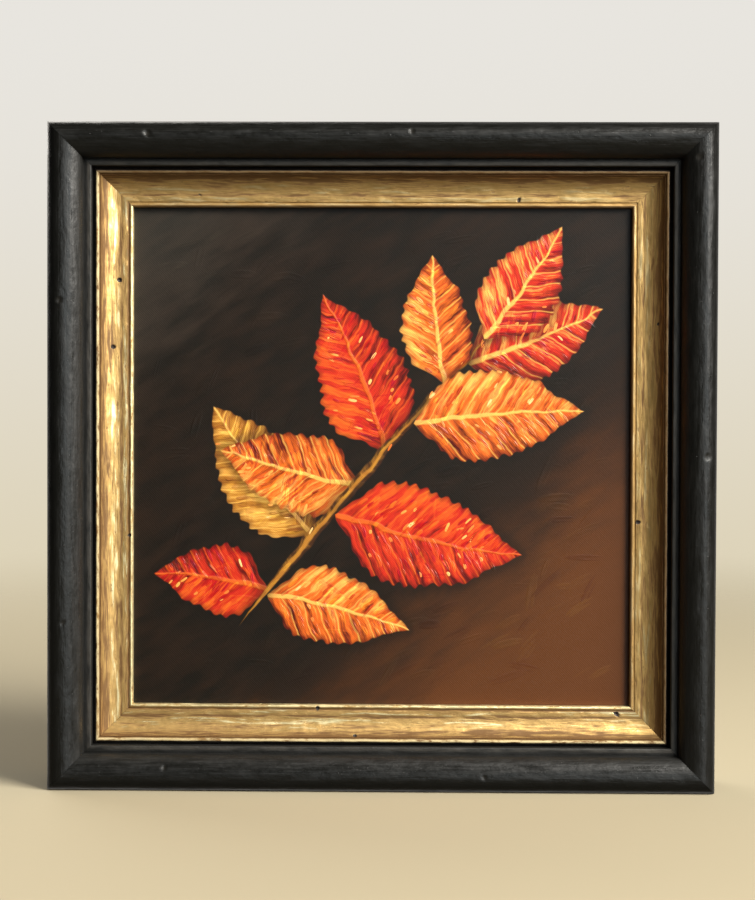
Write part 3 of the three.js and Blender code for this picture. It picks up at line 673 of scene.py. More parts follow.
def bare_cotton():
    """Unbleached cotton duck: a plain weave with slubs, dull and slightly yellow."""
    material, tree = new_finish("bare_cotton")
    place = picture_millimetres(tree)
    threads = woven_threads(tree, place)
    # Slubs about 0.9 mm thick and 14 mm long, in both directions
    weft_place = add(tree, MAPPING, {"Vector": place, "Scale": (1 / 14, 1.0, 1 / 0.9)})
    weft_slubs = add(tree, NOISE, {"Vector": weft_place, "Scale": 1.0, "Detail": 3.0})
    warp_place = add(tree, MAPPING, {"Vector": place, "Scale": (1 / 0.9, 1.0, 1 / 14)})
    warp_slubs = add(tree, NOISE, {"Vector": warp_place, "Scale": 1.0, "Detail": 3.0})
    slubs = add(tree, MIX, {0: 0.4, 2: weft_slubs, 3: warp_slubs}, data_type="FLOAT")
    stains = add(tree, NOISE, {"Vector": place, "Scale": 1 / 30, "Detail": 3.0})
    thread_shade = add(tree, MATH, {0: threads, 1: -0.22, 2: slubs}, operation="MULTIPLY_ADD")
    all_shade = add(tree, MATH, {0: stains, 1: 0.5, 2: thread_shade}, operation="MULTIPLY_ADD")
    dark = add(tree, RANGE, {"Value": all_shade, "From Min": 0.45, "From Max": 1.1})
    stained = linear("#9a8b6c")
    colour = add(tree, MIX, {0: dark, 6: finishes().cotton, 7: stained}, out=2, data_type="RGBA")
    height = add(tree, MATH, {0: threads, 1: 0.6, 2: slubs}, operation="MULTIPLY_ADD")
    normal = add(tree, BUMP, {"Height": height, "Distance": 0.2 * MM})
    inputs = {"Base Color": colour, "Roughness": 0.9, "Sheen Weight": 0.15, "Normal": normal}
    shader = add(tree, PRINCIPLED, inputs)
    add(tree, SURFACE, {"Surface": shader})
    return material


def thick_paint():
    """Thick light paint left by the tip of a brush, straw to cream."""
    material, tree = new_finish("thick_paint")
    colours = paints()
    tint = add(tree, ATTRIBUTE, out="Fac", attribute_name="tint")
    share = add(tree, RANGE, {"Value": tint, "From Min": -1.0, "From Max": 1.0})
    warm = add(tree, MIX, {0: share, 6: colours.orange, 7: colours.straw}, out=2, data_type="RGBA")
    top = add(tree, RANGE, {"Value": tint, "From Min": 0.4, "From Max": 1.0, "To Max": 0.4})
    cream = linear("#f6dfae")
    colour = add(tree, MIX, {0: top, 6: warm, 7: cream}, out=2, data_type="RGBA")
    place = picture_millimetres(tree)
    # Bristle marks about 0.4 mm wide
    bristles = add(tree, NOISE, {"Vector": place, "Scale": 1 / 0.8, "Detail": 3.0})
    normal = add(tree, BUMP, {"Height": bristles, "Distance": 0.1 * MM, "Strength": 0.6})
    roughness = add(tree, RANGE, {"Value": bristles, "To Min": 0.3, "To Max": 0.5})
    inputs = {"Base Color": colour, "Roughness": roughness, "Normal": normal, "IOR": OIL_PAINT_IOR}
    shader = add(tree, PRINCIPLED, inputs)
    add(tree, SURFACE, {"Surface": shader})
    return material


def seamless_paper():
    """Matt pale paper: an even tone with a faint tooth."""
    material, tree = new_finish("seamless_paper")
    here = add(tree, COORDINATES, out="Object")
    tooth = add(tree, NOISE, {"Vector": here, "Scale": 1 / (2 * MM), "Detail": 3.0})
    normal = add(tree, BUMP, {"Height": tooth, "Distance": 0.05 * MM, "Strength": 0.5})
    floor = bpy.context.scene.picture_stage.floor
    paper = add(tree, PRINCIPLED, {"Base Color": floor, "Roughness": 0.9, "Normal": normal})
    # The sheet fades out between 0.3 m and 1.3 m from the picture, so that it has no far edge
    flat = add(tree, VECTOR_MATH, {0: here, 1: (1.0, 1.0, 0.0)}, operation="MULTIPLY")
    far = add(tree, VECTOR_MATH, {0: flat}, out="Value", operation="LENGTH")
    fade = add(tree, RANGE, {"Value": far, "From Min": 0.3, "From Max": 1.3}, interpolation_type="SMOOTHSTEP")
    # Little of the paper's light reaches the frame, whose lower faces stay dark
    from_camera = add(tree, "ShaderNodeLightPath", out="Is Camera Ray")
    held_back = add(tree, RANGE, {"Value": from_camera, "To Min": 0.85, "To Max": 0.0})
    thin = add(tree, MATH, {0: fade, 1: held_back}, operation="MAXIMUM")
    clear = add(tree, "ShaderNodeBsdfTransparent")
    shader = add(tree, "ShaderNodeMixShader", {0: thin, 1: paper, 2: clear})
    add(tree, SURFACE, {"Surface": shader})
    return material


# Meshes


def new_object(name, mesh):
    """A new object in the scene."""
    made = bpy.data.objects.new(name, mesh)
    bpy.context.scene.collection.objects.link(made)
    return made


def mesh_of(name, shape, smooth_below=35):
    """Turns a bmesh into a mesh, smooth where its faces meet at less than the given angle in degrees."""
    for face in shape.faces:
        face.smooth = True
    for edge in shape.edges:
        edge.smooth = edge.calc_face_angle(0.0) < math.radians(smooth_below)
    mesh = bpy.data.meshes.new(name)
    shape.to_mesh(mesh)
    shape.free()
    return mesh


def plain_mesh(made):
    """Replaces an object's modifiers by their result."""
    bpy.context.view_layer.update()
    graph = bpy.context.evaluated_depsgraph_get()
    mesh = bpy.data.meshes.new_from_object(
        made.evaluated_get(graph), preserve_all_data_layers=True, depsgraph=graph
    )
    mesh.name = made.name
    made.modifiers.clear()
    made.data = mesh
    return made


def run_tree(name, mesh, tree, values):
    """Gives a mesh to a geometry tree, sets the tree's named inputs and keeps the result as a plain mesh."""
    made = new_object(name, mesh)
    modifier = made.modifiers.new(tree.name, "NODES")
    modifier.node_group = tree
    for item in tree.interface.items_tree:
        if item.item_type == "SOCKET" and item.in_out == "INPUT" and item.name in values:
            modifier[item.identifier] = values[item.name]
    return plain_mesh(made)


def keep(piece, slot, *nodes):
    """Makes a finished piece part of the object, in place of the solids it stands for."""
    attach(piece, "root")
    if nodes:
        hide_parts(*nodes)


def softened(name, nodes, rounding, material):
    """Copies solids from the frame into one piece and rounds their edges."""
    shape = bmesh.new()
    for node in nodes:
        shape.from_mesh(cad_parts[node].data)
    bmesh.ops.remove_doubles(shape, verts=shape.verts, dist=0.001 * MM)
    flat = math.radians(0.5)
    bmesh.ops.dissolve_limit(shape, angle_limit=flat, verts=shape.verts, edges=shape.edges)
    sharp = [edge for edge in shape.edges if edge.calc_face_angle(0.0) > math.radians(32)]
    bmesh.ops.bevel(
        shape, geom=sharp, offset=rounding, segments=2, profile=0.5, affect="EDGES", clamp_overlap=True
    )
    bmesh.ops.triangulate(shape, faces=shape.faces)
    piece = new_object(name, mesh_of(name, shape, 40))
    piece.data.materials.clear()
    piece.data.materials.append(material)
    return piece


def turned(name, profile, steps):
    """A shape turned about Y, from (radius, y) points in millimetres that start and end on the axis."""
    shape = bmesh.new()
    rings = []
    for radius, y in profile:
        count = steps if radius > 0 else 1
        angles = [2 * math.pi * i / count for i in range(count)]
        rings.append(
            [shape.verts.new((radius * MM * math.cos(a), y * MM, radius * MM * math.sin(a))) for a in angles]
        )
    for low, high in zip(rings, rings[1:]):
        for i in range(steps):
            ring_low = [low[i % len(low)], low[(i + 1) % len(low)]]
            ring_high = [high[(i + 1) % len(high)], high[i % len(high)]]
            corners = list(dict.fromkeys(ring_low + ring_high))
            shape.faces.new(corners)
    bmesh.ops.recalc_face_normals(shape, faces=shape.faces)
    return mesh_of(name, shape)


def carved(made, boxes):
    """Cuts boxes, given by low and high corners, out of an object."""
    cutters = []
    for low, high in boxes:
        shape = bmesh.new()
        bmesh.ops.create_cube(shape, size=1.0)
        for vertex in shape.verts:
            vertex.co = [a + (b - a) * (c + 0.5) for a, b, c in zip(low, high, vertex.co)]
        cutter = new_object("cutter", mesh_of("cutter", shape))
        modifier = made.modifiers.new("cut", "BOOLEAN")
        modifier.object = cutter
        modifier.solver = "EXACT"
        cutters.append(cutter)
    plain_mesh(made)
    for cutter in cutters:
        bpy.data.objects.remove(cutter)


# Mouldings

SectionPoint = namedtuple("SectionPoint", "inset height shown raw")
Mark = namedtuple("Mark", "along inset radius depth")
Wave = namedtuple("Wave", "depth length width")

# Worm holes in the gilding, knocks in the lacquer and dents in the bars, by side, in millimetres along the
# rail from its middle and in from its outer edge
WORM_HOLES = {
    "top": (Mark(53, 29.0, 0.8, 0.5), Mark(-71, 27.2, 0.45, 0.4)),
    "right": (Mark(25, 29.2, 0.9, 0.5), Mark(-52, 22.0, 0.5, 0.4)),
    "bottom": (Mark(24.6, 30.6, 0.9, 0.6), Mark(9.9, 20.6, 0.8, 0.5), Mark(-92, 29.2, 1.0, 0.6)),
    "left": (Mark(68.6, 26.7, 1.0, 0.6), Mark(42.6, 24.4, 0.9, 0.6), Mark(-31, 30.6, 0.8, 0.5)),
}
KNOCKS = {
    "top": (Mark(-89.7, 5.1, 1.7, 0.5), Mark(11.4, 4.2, 1.3, 0.3)),
    "right": (Mark(-115, 8.4, 1.6, 0.35), Mark(-0.8, 4.0, 1.8, 0.25)),
    "bottom": (Mark(-40, 6.5, 1.2, 0.3), Mark(83, 9.5, 1.3, 0.3)),
    "left": (Mark(-64, 7.0, 1.3, 0.3), Mark(60, 5.5, 1.6, 0.4)),
}
BAR_DENTS = {
    "top": (Mark(-38, 22, 1.6, 0.3),),
    "right": (Mark(12, 22, 1.4, 0.3),),
    "bottom": (Mark(44, 22, 1.6, 0.3),),
    "left": (Mark(-20, 22, 1.5, 0.3),),
}


def arc(centre, radii, start, end, steps):
    """Points round part of an ellipse, angles in degrees."""
    turns = [math.radians(start + (end - start) * i / steps) for i in range(steps + 1)]
    return [(centre[0] + radii[0] * math.cos(t), centre[1] + radii[1] * math.sin(t)) for t in turns]


def between(first, last, steps):
    """Points on a line, without the first and the last."""
    shares = [i / steps for i in range(1, steps)]
    return [(first[0] + (last[0] - first[0]) * s, first[1] + (last[1] - first[1]) * s) for s in shares]


def rail_section():
    """Black rail: a flat side, a lopsided hump, a quirk, a narrow fillet, and a raw rebate behind."""
    side = [(0.0, 0.5), (0.0, 6.0), (0.0, 14.0), (0.0, 22.0)]
    hump = arc((5.6, 28.5), (5.6, 6.5), 180, 90, 14)
    flank = arc((5.6, 28.6), (8.3, 6.4), 90, 0, 20)[1:]
    quirk = [(13.95, 28.0), (14.1, 27.55), (14.4, 27.62)]
    fillet = [(14.9, 27.7), (15.6, 27.74)] + arc((16.3, 27.1), (0.6, 0.6), 90, 0, 5)
    wall = [(16.9, 26.0), (16.9, 24.2), (16.9, 22.5)]
    rebate = [(16.7, 22.3), (14.5, 22.3), (12.4, 22.3), (12.4, 15.0), (12.4, 8.0), (12.4, 0.4)]
    back = [(12.0, 0.0), (8.0, 0.0), (4.0, 0.0), (0.5, 0.0)]
    face = hump[1:] + flank + quirk + fillet
    return (
        [SectionPoint(u, h, 0.0, 0.0) for u, h in side + hump[:1]]
        + [SectionPoint(u, h, 1.0, 0.0) for u, h in face]
        + [SectionPoint(u, h, 0.0, 0.0) for u, h in wall]
        + [SectionPoint(u, h, 0.0, 1.0) for u, h in rebate + back]
    )


def slip_section():
    """Gilt slip: a bead, a scoop, a flat and a small lip, on a raw wooden body."""
    bead = arc((BEAD_INSET, 24.6), (0.8, 0.8), 180, 0, 10)
    quirk = [(19.58, 24.42), (19.7, 24.28)]
    scoop = arc((28.0, 26.6), (8.6, 6.4), 200, 270, 26)
    flat = [(28.7, 20.17), (29.3, 20.13), (29.85, 20.1)]
    groove = [(30.05, 19.9), (30.2, 19.75), (30.4, 19.85)]
    lip = [(LIP_INSET, 20.06), (31.0, 20.18), (31.3, 20.18), (31.6, 20.06), (31.82, 19.84), (31.95, 19.55)]
    wall = [(32.0, 19.2), (32.0, 18.2), (32.0, 17.5)]
    under = [(31.8, 17.3), (30.0, 17.3), (28.0, 17.3), (28.0, 10.0), (28.0, 2.8)]
    back = [(27.7, 2.5), (22.0, 2.5), (17.0, 2.5), (13.0, 2.5), (12.7, 2.8)]
    outside = [(12.7, 9.0), (12.7, 16.0), (12.7, 22.0)]
    ledge = [(15.3, 22.0), (17.9, 22.0)]
    return (
        [SectionPoint(17.9, 23.5, 0.0, 0.0)]
        + [SectionPoint(u, h, 1.0, 0.0) for u, h in bead + quirk + scoop + flat + groove + lip]
        + [SectionPoint(u, h, 0.0, 0.0) for u, h in wall]
        + [SectionPoint(u, h, 0.0, 1.0) for u, h in under + back + outside]
        + [SectionPoint(u, h, 0.0, 0.0) for u, h in ledge]
    )


def bar_section(rounding):
    """Stretcher bar: a narrow ridge for the cloth, a face that falls away from it and eased edges."""
    corners = [(0.0, 1.1), (0.0, 16.1), (3.0, 16.1), (30.0, 13.1), (30.0, 1.1)]
    points = []
    for i, corner in enumerate(corners):
        here = Vector(corner)
        before = here + (Vector(corners[i - 1]) - here).normalized() * rounding
        after = here + (Vector(corners[(i + 1) % len(corners)]) - here).normalized() * rounding
        for share in (0.0, 0.25, 0.5, 0.75, 1.0):
            points.append(before.lerp(here, share).lerp(here.lerp(after, share), share))
    back = [Vector(place) for place in between((30.0, 1.1), (0.0, 1.1), 4)]
    return [SectionPoint(*p, 0.0, 0.0) for p in points] + [SectionPoint(*p, 1.0, 0.0) for p in back]


def section_mesh(name, section):
    """A closed loop of edges that carries the section's inset and height to the tree, in metres."""
    mesh = bpy.data.meshes.new(name)
    count = len(section)
    points = [(p.inset * MM, p.height * MM, 0.0) for p in section]
    mesh.from_pydata(points, [(i, (i + 1) % count) for i in range(count)], [])
    for field, scale in (("inset", MM), ("height", MM), ("shown", 1.0), ("raw", 1.0)):
        layer = mesh.attributes.new(field, "FLOAT", "POINT")
        layer.data.foreach_set("value", [getattr(p, field) * scale for p in section])
    return mesh


def marks_object(name, section, marks, outer_half):
    """One point for each mark, on the section's face, with its radius and depth."""
    face = sorted((p.inset, p.height) for p in section if p.shown > 0.5)
    mesh = bpy.data.meshes.new(name)
    points = []
    for mark in marks:
        height = min(face, key=lambda p: abs(p[0] - mark.inset))[1]
        across = outer_half - mark.inset * MM
        points.append((mark.along * MM, -height * MM, across))
    mesh.from_pydata(points, [], [])
    for field in ("radius", "depth"):
        layer = mesh.attributes.new(field, "FLOAT", "POINT")
        layer.data.foreach_set("value", [getattr(m, field) * MM for m in marks])
    return new_object(name, mesh)


def moulding_tree():
    """A mitred rail: a section swept along a line, each point held back at the ends by its own inset."""
    tree = bpy.data.node_groups.new("Mitred moulding", "GeometryNodeTree")
    wanted = (
        ("Section", "Geometry"),
        ("Outer Half", "Float"),
        ("Mitre Gap", "Float"),
        ("Steps", "Int"),
        ("Wave", "Float"),
        ("Wave Length", "Float"),
        ("Wave Width", "Float"),
        ("Seed", "Float"),
        ("Turn", "Vector"),
        ("Centre", "Vector"),
        ("Marks", "Object"),
        ("Face Finish", "Material"),
        ("Raw Finish", "Material"),
    )
    for name, kind in wanted:
        tree.interface.new_socket(name, in_out="INPUT", socket_type="NodeSocket" + kind)
    tree.interface.new_socket("Rail", in_out="OUTPUT", socket_type="NodeSocketGeometry")
    given = tree.nodes.new("NodeGroupInput").outputs

    # Sweep
    section = add(tree, "GeometryNodeMeshToCurve", {"Mesh": given["Section"]})
    line = add(tree, "GeometryNodeCurvePrimitiveLine", {"Start": (-1.0, 0.0, 0.0), "End": (1.0, 0.0, 0.0)})
    path = add(tree, "GeometryNodeResampleCurve", {"Curve": line, "Count": given["Steps"]})
    here = add(tree, "GeometryNodeInputPosition")
    run_value = add(tree, SPLIT, {"Vector": here}, out="X")
    marked_path = add(tree, STORE, {"Geometry": path, "Name": "run", "Value": run_value})
    swept = add(
        tree, "GeometryNodeCurveToMesh", {"Curve": marked_path, "Profile Curve": section, "Fill Caps": True}
    )

    # Mitred place of every point, as the top rail
    inset = add(tree, NAMED, {"Name": "inset"})
    height = add(tree, NAMED, {"Name": "height"})
    shown = add(tree, NAMED, {"Name": "shown"})
    raw = add(tree, NAMED, {"Name": "raw"})
    run = add(tree, NAMED, {"Name": "run"})
    across = add(tree, MATH, {0: given["Outer Half"], 1: inset}, operation="SUBTRACT")
    half_gap = add(tree, MATH, {0: given["Mitre Gap"], 1: 0.5}, operation="MULTIPLY")
    reach = add(tree, MATH, {0: across, 1: half_gap}, operation="SUBTRACT")
    along = add(tree, MATH, {0: run, 1: reach}, operation="MULTIPLY")

    # Hand-made unevenness, calmer at the mitres: the face dips and its lines wander by up to the wave
    wave_x = add(tree, MATH, {0: along, 1: given["Wave Length"]}, operation="DIVIDE")
    wave_y = add(tree, MATH, {0: inset, 1: given["Wave Width"]}, operation="DIVIDE")
    wave_place = add(tree, COMBINE, {"X": wave_x, "Y": wave_y, "Z": given["Seed"]})
    uneven = add(tree, NOISE, {"Vector": wave_place, "Scale": 1.0, "Detail": 3.0})
    from_middle = add(tree, MATH, {0: run}, operation="ABSOLUTE")
    calm = add(tree, RANGE, {"Value": from_middle, "From Min": 1.0, "From Max": 0.95, "To Min": 0.2})
    freedom = add(tree, MATH, {0: calm, 1: shown}, operation="MULTIPLY")
    depth_now = add(tree, MATH, {0: freedom, 1: given["Wave"]}, operation="MULTIPLY")
    dip = add(tree, MATH, {0: uneven, 1: depth_now}, operation="MULTIPLY")
    lowered = add(tree, MATH, {0: dip, 1: height}, operation="SUBTRACT")
    line_place = add(tree, COMBINE, {"X": wave_x, "Z": given["Seed"]})
    line_noise = add(tree, NOISE, {"Vector": line_place, "Scale": 1.0, "Detail": 3.0})
    line_way = add(tree, MATH, {0: line_noise, 1: 0.5}, operation="SUBTRACT")
    # The outer edge stays true
    from_edge = add(tree, RANGE, {"Value": inset, "From Min": 5 * MM, "From Max": 9 * MM})
    line_room = add(tree, MATH, {0: depth_now, 1: from_edge}, operation="MULTIPLY")
    wander = add(tree, MATH, {0: line_way, 1: line_room, 2: across}, operation="MULTIPLY_ADD")
    place = add(tree, COMBINE, {"X": along, "Y": lowered, "Z": wander})
    rail = add(tree, "GeometryNodeSetPosition", {"Geometry": swept, "Position": place})

    # Holes and knocks press the face in along its normal
    marks = add(tree, "GeometryNodeObjectInfo", {"Object": given["Marks"]}, out="Geometry")
    now = add(tree, "GeometryNodeInputPosition")
    sample = {0: marks, "Sample Position": now}
    away = add(tree, "GeometryNodeProximity", sample, out="Distance", target_element="POINTS")
    nearest = add(tree, "GeometryNodeSampleNearest", {"Geometry": marks, "Sample Position": now})
    radius_here = add(tree, NAMED, {"Name": "radius"})
    depth_here = add(tree, NAMED, {"Name": "depth"})
    radius = add(tree, "GeometryNodeSampleIndex", {"Geometry": marks, "Value": radius_here, "Index": nearest})
    depth = add(tree, "GeometryNodeSampleIndex", {"Geometry": marks, "Value": depth_here, "Index": nearest})
    share = add(tree, MATH, {0: away, 1: radius}, operation="DIVIDE")
    rim = {"Value": share, "From Min": 1.0, "From Max": 0.35}
    pit = add(tree, RANGE, rim, interpolation_type="SMOOTHSTEP")
    push = add(tree, MATH, {0: pit, 1: depth}, operation="MULTIPLY")
    inward = add(tree, MATH, {0: push, 1: -1.0}, operation="MULTIPLY")
    normal = add(tree, "GeometryNodeInputNormal")
    offset = add(tree, VECTOR_MATH, {0: normal, "Scale": inward}, operation="SCALE")
    stored = add(tree, STORE, {"Geometry": rail, "Name": "pit", "Value": pit})
    pitted = add(tree, "GeometryNodeSetPosition", {"Geometry": stored, "Offset": offset})

    # Length, inset and height in millimetres, for the finishes, with the seed to tell the rails apart
    grain_x = add(tree, MATH, {0: along, 1: 1 / MM}, operation="MULTIPLY")
    grain_y = add(tree, MATH, {0: inset, 1: 1 / MM}, operation="MULTIPLY")
    grain_z = add(tree, MATH, {0: height, 1: 1 / MM, 2: given["Seed"]}, operation="MULTIPLY_ADD")
    grain = add(tree, COMBINE, {"X": grain_x, "Y": grain_y, "Z": grain_z})
    kept_grain = {"Geometry": pitted, "Name": "grain", "Value": grain}
    grained = add(tree, STORE, kept_grain, data_type="FLOAT_VECTOR")

    # Turn it to its own side of the square
    rotation = add(tree, "FunctionNodeEulerToRotation", {"Euler": given["Turn"]})
    move = {"Geometry": grained, "Translation": given["Centre"], "Rotation": rotation}
    placed = add(tree, "GeometryNodeTransform", move)
    smooth = add(tree, "GeometryNodeSetShadeSmooth", {"Geometry": placed, "Shade Smooth": True})
    angle = add(tree, "GeometryNodeInputMeshEdgeAngle")
    crisp = add(tree, "FunctionNodeCompare", {0: angle, 1: math.radians(38)}, operation="GREATER_THAN")
    sharpen = {"Geometry": smooth, "Selection": crisp, "Shade Smooth": False}
    edged = add(tree, "GeometryNodeSetShadeSmooth", sharpen, domain="EDGE")
    realised = add(tree, "GeometryNodeRealizeInstances", {"Geometry": edged})
    faced = add(tree, "GeometryNodeSetMaterial", {"Geometry": realised, "Material": given["Face Finish"]})
    bare = add(tree, "FunctionNodeCompare", {0: raw, 1: 0.75}, operation="GREATER_THAN")
    raw_side = {"Geometry": faced, "Selection": bare, "Material": given["Raw Finish"]}
    backed = add(tree, "GeometryNodeSetMaterial", raw_side)
    add(tree, "NodeGroupOutput", {"Rail": backed})
    return tree


def shared(store, name, make):
    """A node tree or a material that several operators use, made once."""
    return store.get(name) or make()


def sawn_obeche():
    """Pale hardwood of the mouldings, left raw behind."""
    return sawn_wood("sawn_obeche", finishes().raw_wood, linear("#9c7644"), along=40, ring=6)


def build_mouldings(label, node_prefix, slot, section, marks, outer_half, steps, wave, face_finish):
    """Four mitred rails of one section, one for each side of the square. Returns them by side.

    wave says how far the face dips, and how long and wide a dip is.
    """
    tree = shared(bpy.data.node_groups, "Mitred moulding", moulding_tree)
    raw_finish = shared(bpy.data.materials, "sawn_obeche", sawn_obeche)
    pieces = {}
    for turns, side in enumerate(SIDES):
        marked = marks_object(label + "_marks", section, marks[side], outer_half)
        values = {
            "Outer Half": outer_half,
            "Mitre Gap": sizes().mitre_gap,
            "Steps": steps,
            "Wave": wave.depth,
            "Wave Length": wave.length,
            "Wave Width": wave.width,
            "Seed": 17.0 * (turns + 1),
            "Turn": (0.0, turns * math.pi / 2, 0.0),
            "Centre": (0.0, BACK_PLANE, CENTRE_HEIGHT),
            "Marks": marked,
            "Face Finish": face_finish[side],
            "Raw Finish": raw_finish,
        }
        name = f"{label}_{side}"
        pieces[side] = run_tree(name, section_mesh(name, section), tree, values)
        bpy.data.objects.remove(marked)
        keep(pieces[side], slot, f"{node_prefix}_{side}")
    return pieces


# Copies placed by points

Place = namedtuple("Place", "spot turn size tint")


def copies_tree():
    """One shape set at every point, turned and sized by the point's own values."""
    tree = bpy.data.node_groups.new("Placed copies", "GeometryNodeTree")
    for name, kind in (("Points", "Geometry"), ("Shape", "Object"), ("Finish", "Material")):
        tree.interface.new_socket(name, in_out="INPUT", socket_type="NodeSocket" + kind)
    tree.interface.new_socket("Copies", in_out="OUTPUT", socket_type="NodeSocketGeometry")
    given = tree.nodes.new("NodeGroupInput").outputs
    as_instance = {"Object": given["Shape"], "As Instance": True}
    shape = add(tree, "GeometryNodeObjectInfo", as_instance, out="Geometry")
    turn = add(tree, NAMED, {"Name": "turn"}, data_type="FLOAT_VECTOR")
    size = add(tree, NAMED, {"Name": "size"}, data_type="FLOAT_VECTOR")
    rotation = add(tree, "FunctionNodeEulerToRotation", {"Euler": turn})
    one_each = {"Points": given["Points"], "Instance": shape, "Rotation": rotation, "Scale": size}
    set_out = add(tree, "GeometryNodeInstanceOnPoints", one_each)
    realised = add(tree, "GeometryNodeRealizeInstances", {"Geometry": set_out})
    finished = add(tree, "GeometryNodeSetMaterial", {"Geometry": realised, "Material": given["Finish"]})
    add(tree, "NodeGroupOutput", {"Copies": finished})
    return tree


def place_copies(name, shape_mesh, places, material):
    """Sets copies of a shape at the given places, as one piece."""
    points = bpy.data.meshes.new(name)
    points.from_pydata([p.spot for p in places], [], [])
    for field in ("turn", "size"):
        layer = points.attributes.new(field, "FLOAT_VECTOR", "POINT")
        layer.data.foreach_set("vector", [number for p in places for number in getattr(p, field)])
    tints = points.attributes.new("tint", "FLOAT", "POINT")
    tints.data.foreach_set("value", [p.tint for p in places])
    shape = new_object(name + "_shape", shape_mesh)
    tree = shared(bpy.data.node_groups, "Placed copies", copies_tree)
    piece = run_tree(name, points, tree, {"Shape": shape, "Finish": material})
    bpy.data.objects.remove(shape)
    return piece


def middle(node):
    """The middle of a solid's box."""
    low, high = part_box(node)
    return (low + high) / 2


WHOLE = (1.0, 1.0, 1.0)
UNTURNED = (0.0, 0.0, 0.0)


# Canvas and paint

CLOTH_THICK = 0.6 * MM
HEM = 12 * MM
FRONT_ROUND = 1.4 * MM
BACK_ROUND = 1.0 * MM
CLOTH_CELLS = 100
# Half the canvas's side and how far out the ground's strokes reach, in millimetres
CANVAS_HALF = 100
GROUND_REACH = 88
GROUND_STROKES = 420
# Square millimetres of a leaf's length times its half width for each stroke and each touch of light
STROKE_AREA = 9
LIGHT_AREA = 75
# How far strokes lean from the twig, in radians
TWIG_SLANT = 0.06


def cloth_rings(front, back):
    """Distance outside the flat front and depth, from the front's edge round to the inside of the cloth."""
    quarter = [math.radians(18 * i) for i in range(1, 6)]
    rings = [(FRONT_ROUND * math.sin(t), front + FRONT_ROUND * (1 - math.cos(t))) for t in quarter]
    wall = [front + FRONT_ROUND + (back - BACK_ROUND - front - FRONT_ROUND) * i / 5 for i in range(1, 6)]
    rings += [(FRONT_ROUND, y) for y in wall]
    rings += [
        (FRONT_ROUND - BACK_ROUND * (1 - math.cos(t)), back - BACK_ROUND + BACK_ROUND * math.sin(t))
        for t in quarter
    ]
    hem_end = FRONT_ROUND - HEM
    hem_start = FRONT_ROUND - BACK_ROUND
    rings += [(hem_start + (hem_end - hem_start) * i / 6, back) for i in range(1, 7)]
    inner_wall = FRONT_ROUND - CLOTH_THICK
    inner_back = back - CLOTH_THICK
    rings += [(hem_end, inner_back), (inner_wall, inner_back), (inner_wall, front + CLOTH_THICK)]
    return rings


def stretched_cloth():
    """The canvas as one closed sheet: a flat front, turned sides and a hem."""
    half = (CANVAS_HIGH.x - CANVAS_LOW.x) / 2
    front = CANVAS_LOW.y
    back = CANVAS_HIGH.y
    flat = half - FRONT_ROUND
    sag = sizes().cloth_sag
    shape = bmesh.new()
    count = CLOTH_CELLS + 1
    steps = [-1 + 2 * i / CLOTH_CELLS for i in range(count)]

    def grid(depth):
        return [
            [
                shape.verts.new((a * flat, depth + sag * (1 - a * a) * (1 - b * b), CENTRE_HEIGHT + b * flat))
                for a in steps
            ]
            for b in steps
        ]

    def fill(rows):
        faces = []
        for low, high in zip(rows, rows[1:]):
            for i in range(CLOTH_CELLS):
                faces.append(shape.faces.new((low[i], low[i + 1], high[i + 1], high[i])))
        return faces

    last = CLOTH_CELLS
    rim = [(i, 0) for i in range(last)] + [(last, j) for j in range(last)]
    rim += [(i, last) for i in range(last, 0, -1)] + [(0, j) for j in range(last, 0, -1)]

    def ring(out, depth):
        made = []
        for i, j in rim:
            a, b = steps[i], steps[j]
            way = Vector((a if abs(a) == 1 else 0.0, b if abs(b) == 1 else 0.0)).normalized()
            place = Vector((a, b)) * flat + way * out if out >= 0 else Vector((a, b)) * (flat + out)
            made.append(shape.verts.new((place.x, depth, CENTRE_HEIGHT + place.y)))
        return made

    outer = grid(front)
    painted = fill(outer)
    loops = [[outer[j][i] for i, j in rim]]
    loops += [ring(out, depth) for out, depth in cloth_rings(front, back)]
    inner = grid(front + CLOTH_THICK)
    fill(inner)
    loops.append([inner[j][i] for i, j in rim])
    for near, far in zip(loops, loops[1:]):
        for i in range(len(rim)):
            k = (i + 1) % len(rim)
            shape.faces.new((near[i], near[k], far[k], far[i]))
    bmesh.ops.recalc_face_normals(shape, faces=shape.faces)
    for face in shape.faces:
        face.material_index = 1
        if face.calc_center_median().y < front + FRONT_ROUND and face.normal.y < 0:
            face.material_index = 0
    for face in painted:
        face.material_index = 0
    return mesh_of("stretched_canvas", shape, 60)


def corner_flap():
    """The spare cloth of one corner, folded to a flat triangle along the diagonal of the hem."""
    outer = (CANVAS_HIGH.x - CANVAS_LOW.x) / 2 - BACK_ROUND
    inner = outer + BACK_ROUND - HEM
    shape = bmesh.new()
    lift = 0.1 * MM
    corners = [(outer, outer), (inner + lift, inner + lift), (inner + lift, outer)]
    triangle = shape.faces.new([shape.verts.new((x, -lift, z)) for x, z in corners])
    raised = bmesh.ops.extrude_face_region(shape, geom=[triangle])["geom"]
    top = [part for part in raised if isinstance(part, bmesh.types.BMVert)]
    bmesh.ops.translate(shape, verts=top, vec=(0.0, lift + CLOTH_THICK, 0.0))
    bmesh.ops.recalc_face_normals(shape, faces=shape.faces)
    rims = [edge for edge in shape.edges if all(end in top for end in edge.verts)]
    bmesh.ops.bevel(shape, geom=rims, offset=0.25 * MM, segments=3, profile=0.5, affect="EDGES")
    return mesh_of("corner_flap", shape, 60)


